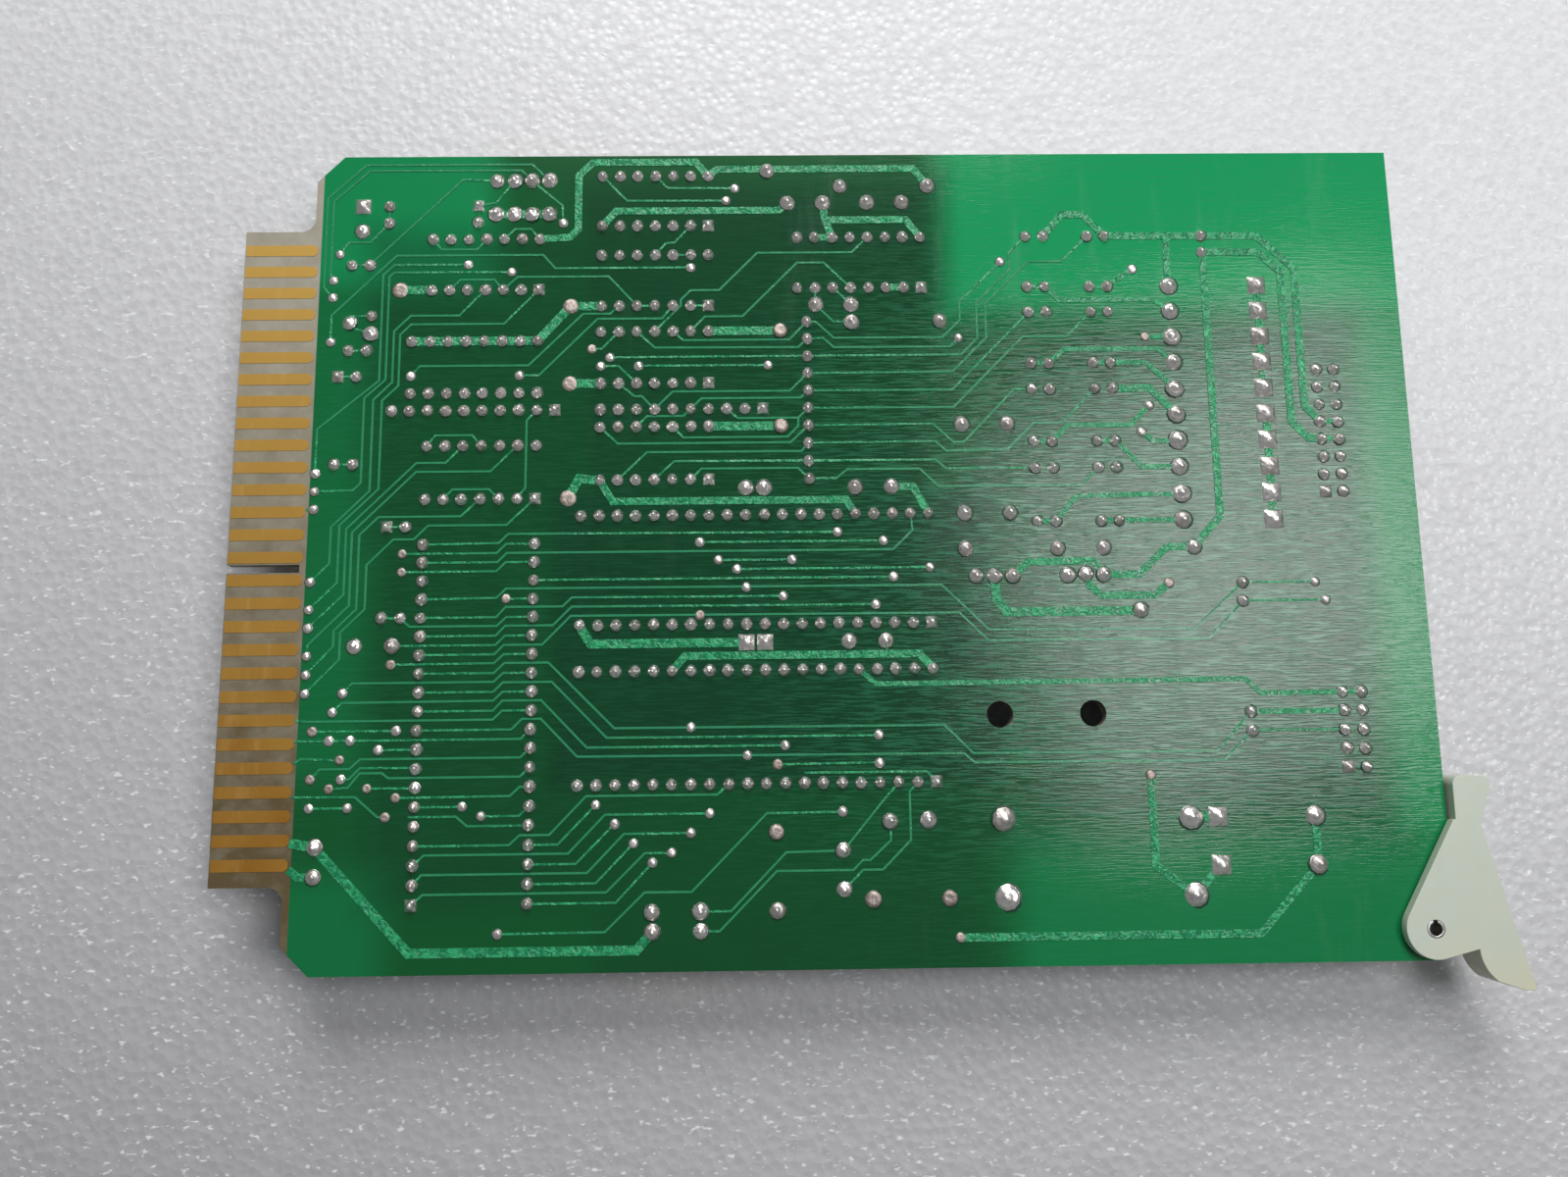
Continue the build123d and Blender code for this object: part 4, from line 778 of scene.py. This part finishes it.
@dataclass
class SolderSide:
    """Joints and vias standing on the solder side."""

    seed: int = 20
    sides: int = 10
    heap_sides: int = 16
    pad_share: float = 0.98
    pad_rise: float = 0.08 * MM
    pad_edge: float = 0.05 * MM
    heap_share: float = 1.04
    shares: Span = (0.96, 1.06)
    heights: Span = (0.72, 1.0)
    most_tilt: float = 0.16
    flat_tone: float = 0.8
    usual_tone: Span = (0.14, 0.15)
    ring_from: float = 1.02
    spot_reach: float = 0.45 * MM
    flat_vias: tuple[Spot, ...] = (
        (19.5, 33.5), (9.4, 22), (9.4, 21), (25.5, 18.5), (15.05, 19.5), (9, 16), (5, 12.5), (6.5, 11),
        (5, 10), (6, 9.5), (8, 9.5), (9.5, 9), (29.6, 10.5), (9, 8), (39, 1.5), (50.5, 34), (49.4, 9.7),
        (51, 20), (8.75, 37), (18.3, 36), (18.3, 31.5), (18.3, 25),
    )
    flat_joints: tuple[Spot, ...] = ((34.5, 3.5), (38.5, 3.5), (29.5, 7), (30, 34.5), (30, 29))
    square_pads: tuple[Spot, ...] = (
        (38, 18), (38, 9.5), (10.5, 3.5), (16.5, 37), (16.5, 25), (26, 40.75), (26, 36), (26, 31.5), (26, 26),
        (38, 37), (17.5, 30), (29, 30), (60, 25), (60, 10), (5.5, 32), (8.5, 23.5), (52.85, 7.5), (52.85, 5),
        (6.5, 42), (13, 42), (28, 17), (29, 17),
    )
    diode_pad_u: float = 57.0
    diode_rows: Span = (23.5, 37.0)

    def _near(self, middle: Vector, spots: tuple[Spot, ...]) -> bool:
        """Tell whether a joint stands at one of some grid points."""
        return any((on_card(u, v, middle.z) - middle).length < self.spot_reach for u, v in spots)

    def _is_square(self, middle: Vector) -> bool:
        """Tell whether a joint stands on a square pad.

        Args:
            middle: Where the joint stands.

        Returns:
            True for a listed pad and for each diode's pad in the ladder.
        """
        lowest, highest = (on_card(self.diode_pad_u, v, middle.z) for v in self.diode_rows)
        on_line = abs(middle.x - lowest.x) < self.spot_reach
        in_ladder = on_line and lowest.y - GRID / 4 < middle.y < highest.y + GRID / 4
        return in_ladder or self._near(middle, self.square_pads)

    def _templates(self) -> dict[str, bpy.types.Mesh]:
        """Build one mesh of radius and height 1 for each form of joint.

        Returns:
            The meshes by form.
        """
        profiles = {
            "dome": [
                (1.16, 0.0), (1.0, 0.06), (0.92, 0.27), (0.66, 0.56), (0.36, 0.70), (0.27, 0.93), (0.0, 1.0),
            ],
            "flat": [(1.12, 0.0), (1.0, 0.12), (0.90, 0.44), (0.44, 0.50), (0.0, 0.30)],
            "via": [(1.14, 0.0), (1.0, 0.10), (0.86, 0.58), (0.50, 0.96), (0.0, 0.94)],
            "heap": [(0.99, 0.0), (0.96, 0.14), (0.80, 0.34), (0.56, 0.66), (0.28, 0.88), (0.0, 1.0)],
        }
        meshes = {}
        for name, profile in profiles.items():
            shape = turned_profile(profile, self.heap_sides if name == "heap" else self.sides)
            for face in shape.faces:
                in_ring = max(math.hypot(v.co.x, v.co.y) for v in face.verts) > self.ring_from
                face.material_index = 1 if in_ring else 0
                face.smooth = True
            if name == "heap":
                self._square_off(shape)
            mesh = bpy.data.meshes.new(f"joint_{name}")
            shape.to_mesh(mesh)
            shape.free()
            meshes[name] = mesh
        return meshes

    def _square_off(self, shape: bmesh.types.BMesh) -> None:
        """Draw the foot of a turned heap out to the corners of its square pad.

        Args:
            shape: The heap, of radius and height 1.
        """
        for vertex in shape.verts:
            radius = math.hypot(vertex.co.x, vertex.co.y)
            if radius > 0:
                corner = radius / max(abs(vertex.co.x), abs(vertex.co.y))
                reach = 1 + (corner - 1) * (1 - vertex.co.z) ** 2
                vertex.co.x *= reach
                vertex.co.y *= reach

    def _pad(self, shape: bmesh.types.BMesh, middle: Vector, half: float) -> None:
        """Lay a tinned square pad with softened edges under a joint.

        Args:
            shape: The bmesh that gains the pad.
            middle: The pad's centre on the laminate.
            half: Half of its width.
        """
        size = Matrix.Diagonal((2 * half, 2 * half, 2 * self.pad_rise, 1.0))
        made = bmesh.ops.create_cube(shape, size=1.0, matrix=Matrix.Translation(middle) @ size)
        edges = {e for v in made["verts"] for e in v.link_edges}
        rim = [e for e in edges if all(v.co.z > middle.z for v in e.verts)]
        bmesh.ops.bevel(
            shape, geom=rim, offset=self.pad_edge, affect="EDGES", segments=2, profile=0.5, material=-1
        )

    def build(self, node: str, tall: bool, materials: list[bpy.types.Material]) -> None:
        """Stand a turned joint on each of a node's solids.

        Args:
            node: The CAD node that holds the joints.
            tall: Whether they are component joints and not vias.
            materials: Solder, then the ring round it.
        """
        source = merged_copy(node)
        dice = random.Random(self.seed)
        templates = self._templates()
        shape = bmesh.new()
        tone = shape.verts.layers.float.new("tone")
        pads: list[tuple[Vector, float]] = []
        for members in islands(source):
            low = Vector(min(v.co[i] for v in members) for i in range(3))
            high = Vector(max(v.co[i] for v in members) for i in range(3))
            middle = Vector(((low.x + high.x) / 2, (low.y + high.y) / 2, SOLDER_FACE))
            radius, height = (high.x - low.x) / 2, high.z - low.z
            flat = self._near(middle, self.flat_joints if tall else self.flat_vias)
            square = tall and self._is_square(middle)
            form = "heap" if square else "flat" if flat else "dome" if tall else "via"
            if square:
                pads.append((middle, radius * self.pad_share))
            first = len(shape.verts)
            shape.from_mesh(templates[form])
            shape.verts.ensure_lookup_table()
            fresh = shape.verts[first:]
            tilt = dice.uniform(0, self.most_tilt) if tall and not square else 0.0
            lean = Quaternion((dice.uniform(-1, 1), dice.uniform(-1, 1), 0.0), tilt)
            rise = height * dice.uniform(*self.heights)
            spread = radius * (self.heap_share if square else dice.uniform(*self.shares))
            size = Matrix.Diagonal((spread, spread, rise, 1.0))
            spin = Matrix.Rotation(0.0 if square else dice.uniform(0, math.tau), 4, "Z")
            place = Matrix.Translation(middle) @ lean.to_matrix().to_4x4() @ spin @ size
            bmesh.ops.transform(shape, matrix=place, verts=fresh)
            level = self.flat_tone if flat else max(0.0, dice.gauss(*self.usual_tone))
            for vertex in fresh:
                vertex[tone] = level
        for middle, half in pads:
            self._pad(shape, middle, half)
        source.free()
        finish_piece(shape, f"{node}_turned", "card", materials, node)


@dataclass
class CopperRuns:
    """The tracks with softened edges and their local width stored for the finish."""

    usual_width: float = 0.3
    widest: float = 2.0
    soften: float = 0.035 * MM
    skin: float = 0.001 * MM

    def build(self, material: bpy.types.Material) -> None:
        """Copy the tracks, measure the run's width at each wall and soften the top edges.

        Args:
            material: The masked copper.
        """
        shape = merged_copy("tracks")
        shape.normal_update()
        tree = BVHTree.FromBMesh(shape)
        breadth = shape.verts.layers.float.new("breadth")
        for face in shape.faces:
            if abs(face.normal.z) > 0.5:
                continue
            start = face.calc_center_median() - face.normal * self.skin
            hit, _, _, distance = tree.ray_cast(start, -face.normal)
            width = self.usual_width if hit is None else min(distance / MM, self.widest)
            for vertex in face.verts:
                vertex[breadth] = max(vertex[breadth], width) if vertex[breadth] else width
        top = max(v.co.z for v in shape.verts)
        rims = [
            e for e in shape.edges
            if all(v.co.z > top - self.skin for v in e.verts) and len(e.link_faces) == 2
            and any(abs(f.normal.z) < 0.5 for f in e.link_faces)
        ]
        bmesh.ops.bevel(
            shape, geom=rims, offset=self.soften, affect="EDGES", segments=2, profile=0.5, material=-1,
            clamp_overlap=True,
        )
        bmesh.ops.triangulate(shape, faces=[f for f in shape.faces if len(f.verts) > 4])
        finish_piece(shape, "copper_runs", "card", [material], "tracks")


@dataclass
class EjectorLever:
    """The nylon lever with rounded edges, and its spring pin."""

    edge_radius: float = 0.28 * MM
    sharp_from: float = 40.0
    pin_edge: float = 0.08 * MM
    pin_sharp_from: float = 50.0
    broad_face: float = 6.0 * MM**2

    def _softened(self, node: str, radius: float, angle: float) -> bmesh.types.BMesh:
        """Copy a node and round its sharp edges, with its broad flats left flat.

        Args:
            node: The CAD node's name.
            radius: How far the rounding reaches.
            angle: The smallest turn between faces that counts as sharp, in degrees.

        Returns:
            The rounded copy.
        """
        shape = merged_copy(node)
        least = math.radians(angle)
        sharp = [e for e in shape.edges if len(e.link_faces) == 2 and e.calc_face_angle(0.0) > least]
        bmesh.ops.bevel(
            shape, geom=sharp, offset=radius, affect="EDGES", segments=3, profile=0.5, material=-1,
            clamp_overlap=True,
        )
        for face in shape.faces:
            face.smooth = face.calc_area() < self.broad_face
        return shape

    def build(self, nylon: bpy.types.Material, steel: bpy.types.Material) -> None:
        """Build the lever and the pin on the ejector body.

        Args:
            nylon: The lever's material.
            steel: The pin's material.
        """
        lever = self._softened("ejector_lever", self.edge_radius, self.sharp_from)
        finish_piece(lever, "ejector_lever_moulded", "ejector", [nylon], "ejector_lever")
        pin = self._softened("ejector_pin", self.pin_edge, self.pin_sharp_from)
        finish_piece(pin, "ejector_pin_rolled", "ejector", [steel], "ejector_pin")


@dataclass(frozen=True)
class Lamp:
    """One soft square lamp: its place and aim, its side in metres and its power in watts."""

    name: str
    place: Point
    aim: Point
    side: float
    power: float

    def hang(self) -> None:
        """Hang the lamp, facing the point that it aims at."""
        data = bpy.data.lights.new(self.name, "AREA")
        data.size = self.side
        data.energy = self.power
        lamp = bpy.data.objects.new(self.name, data)
        lamp.location = self.place
        lamp.rotation_mode = "QUATERNION"
        lamp.rotation_quaternion = (Vector(self.aim) - Vector(self.place)).to_track_quat("-Z", "Y")
        bpy.context.scene.collection.objects.link(lamp)


@dataclass(frozen=True)
class Studio:
    """Camera, bench and lights, with the camera's place in millimetres."""

    camera_place: Point = (73.98, -29.70, 157.04)
    forward: Point = (0.0148, 0.1463, -0.9891)
    upward: Point = (0.0101, 0.9892, 0.1464)
    lens: float = 26.38
    film_width: float = 36.0
    sight: Span = (0.005, 20.0)
    bench_half: float = 2.5
    bench_middle: float = 0.08
    bench_gap: float = 0.02 * MM
    air: Colour = (0.80, 0.83, 0.86)
    air_level: float = 0.15
    seen_level: float = 0.30
    lamps: tuple[Lamp, ...] = (
        Lamp("window", (0.08, 0.62, 0.50), (0.08, 0.02, 0.0), 0.42, 4.3),
        Lamp("ceiling", (0.44, 0.12, 0.75), (0.12, 0.0, 0.0), 0.32, 2.6),
    )

    def _camera(self) -> None:
        """Stand the camera where the photograph was taken from."""
        data = bpy.data.cameras.new("camera")
        data.lens = self.lens
        data.sensor_width = self.film_width
        data.clip_start, data.clip_end = self.sight
        camera = bpy.data.objects.new("camera", data)
        bpy.context.scene.collection.objects.link(camera)
        back = -Vector(self.forward).normalized()
        right = Vector(self.upward).cross(back).normalized()
        turn = Matrix((right, back.cross(right), back)).transposed()
        camera.matrix_world = Matrix.Translation(Vector(self.camera_place) * MM) @ turn.to_4x4()
        bpy.context.scene.camera = camera

    def _bench(self) -> None:
        """Lay the bench just under the card's lowest point."""
        shape = bmesh.new()
        bmesh.ops.create_grid(shape, x_segments=2, y_segments=2, size=self.bench_half)
        place = (self.bench_middle, 0.0, CAD_BOX[0].z - self.bench_gap)
        bmesh.ops.translate(shape, verts=shape.verts, vec=place)
        mesh = bpy.data.meshes.new("bench")
        shape.to_mesh(mesh)
        shape.free()
        mesh.materials.append(BenchTop().material())
        bench = bpy.data.objects.new("bench", mesh)
        bpy.context.scene.collection.objects.link(bench)

    def _air(self) -> None:
        """Fill the surroundings with an even pale light that looks brighter than it shines."""
        world = bpy.data.worlds.new("surroundings")
        world.use_nodes = True
        graph = Graph(world.node_tree)
        background = world.node_tree.nodes["Background"]
        rays = graph.add("LightPath").outputs
        direct = graph.math("MAXIMUM", rays["Is Camera Ray"], rays["Is Transmission Ray"])
        seen = graph.math("MAXIMUM", direct, rays["Is Glossy Ray"])
        graph.feed(background, "Color", self.air)
        graph.feed(background, "Strength", graph.ramp(seen, 0.0, 1.0, self.air_level, self.seen_level))
        bpy.context.scene.world = world

    def build(self) -> None:
        """Set up the camera, the bench and the lights."""
        self._camera()
        self._bench()
        for lamp in self.lamps:
            lamp.hang()
        self._air()
        bpy.context.scene.view_settings.view_transform = "Standard"


def dress(node: str, material: bpy.types.Material) -> None:
    """Give a CAD node that stays in view its material.

    Args:
        node: The node's name.
        material: Its material.
    """
    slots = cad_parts[node].data.materials
    slots.clear()
    slots.append(material)
    LOG.info("%s: %s", node, material.name)


def dress_hidden_side() -> None:
    """Dress the parts on the hidden side of the card, each by the longest start that its name has."""
    black = Moulding("chip_moulding", (0.025, 0.025, 0.028), (0.045, 0.045, 0.05), 0.55).material()
    socket = Moulding("socket_plastic", (0.03, 0.03, 0.033), (0.06, 0.06, 0.06), 0.45).material()
    red = Moulding("switch_red", (0.42, 0.04, 0.03), (0.30, 0.02, 0.02), 0.4).material()
    white = Moulding("slider_white", (0.78, 0.78, 0.74), (0.66, 0.66, 0.62), 0.4).material()
    network = Moulding("network_coat", (0.50, 0.33, 0.12), (0.40, 0.25, 0.08), 0.35).material()
    resistor = Moulding("resistor_coat", (0.66, 0.52, 0.33), (0.55, 0.41, 0.24), 0.4).material()
    sleeve = Moulding("capacitor_sleeve", (0.05, 0.10, 0.36), (0.04, 0.07, 0.26), 0.25).material()
    coat = Moulding("capacitor_coat", (0.70, 0.36, 0.08), (0.60, 0.28, 0.05), 0.4).material()
    tinned = BrushedMetal("tinned_lead", (0.72, 0.72, 0.70), 0.3).material()
    can = BrushedMetal("can_metal", (0.66, 0.67, 0.68), 0.3).material()
    gold = PlatedContact(name="plated_pin", brown=(0.50, 0.34, 0.12)).material()
    wardrobe = {
        "logic_chip_": black,
        "processor_chip": black,
        "interface_chip": black,
        "buffer_chip": black,
        "power_transistor_": black,
        "regulator_body_": black,
        "clamp_diodes": black,
        "rectifier_diodes": black,
        "processor_chip_socket": socket,
        "interface_chip_socket": socket,
        "buffer_chip_socket": socket,
        "header_1": socket,
        "jumper_bases": socket,
        "switch_block": red,
        "switch_sliders": white,
        "resistor_network_": network,
        "resistors": resistor,
        "filter_capacitor_": sleeve,
        "ceramic_capacitors": coat,
        "bead_capacitors": coat,
        "logic_chip_leads": tinned,
        "large_chip_leads": tinned,
        "power_transistor_leads": tinned,
        "regulator_leads": tinned,
        "axial_wires": tinned,
        "crystal_wires": tinned,
        "crystal_strap": tinned,
        "crystal_can": can,
        "regulator_tab_": can,
        "header_pins": gold,
        "jumper_posts": gold,
    }
    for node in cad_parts:
        fits = [start for start in wardrobe if node.startswith(start)]
        if fits:
            dress(node, wardrobe[max(fits, key=len)])


def main() -> None:
    """Dress the card, build its finer pieces, then set up the studio."""
    logging.basicConfig(level=logging.INFO)
    Paint.groups = EffectGroups()
    solder = SolderMetal().material()
    ring = FluxAndShadeRing().material()
    contact = PlatedContact().material()
    dress("board", MaskedLaminate().material())
    dress("contacts_solder_side", contact)
    dress("contacts_component_side", contact)
    dress_hidden_side()
    CopperRuns().build(MaskedCopper().material())
    side = SolderSide()
    side.build("solder_joints", True, [solder, ring])
    side.build("via_joints", False, [solder, ring])
    steel = BrushedMetal("pin_steel", (0.42, 0.41, 0.40), 0.35).material()
    EjectorLever().build(EjectorNylon().material(), steel)
    Studio().build()


if __name__ == "__main__":
    main()
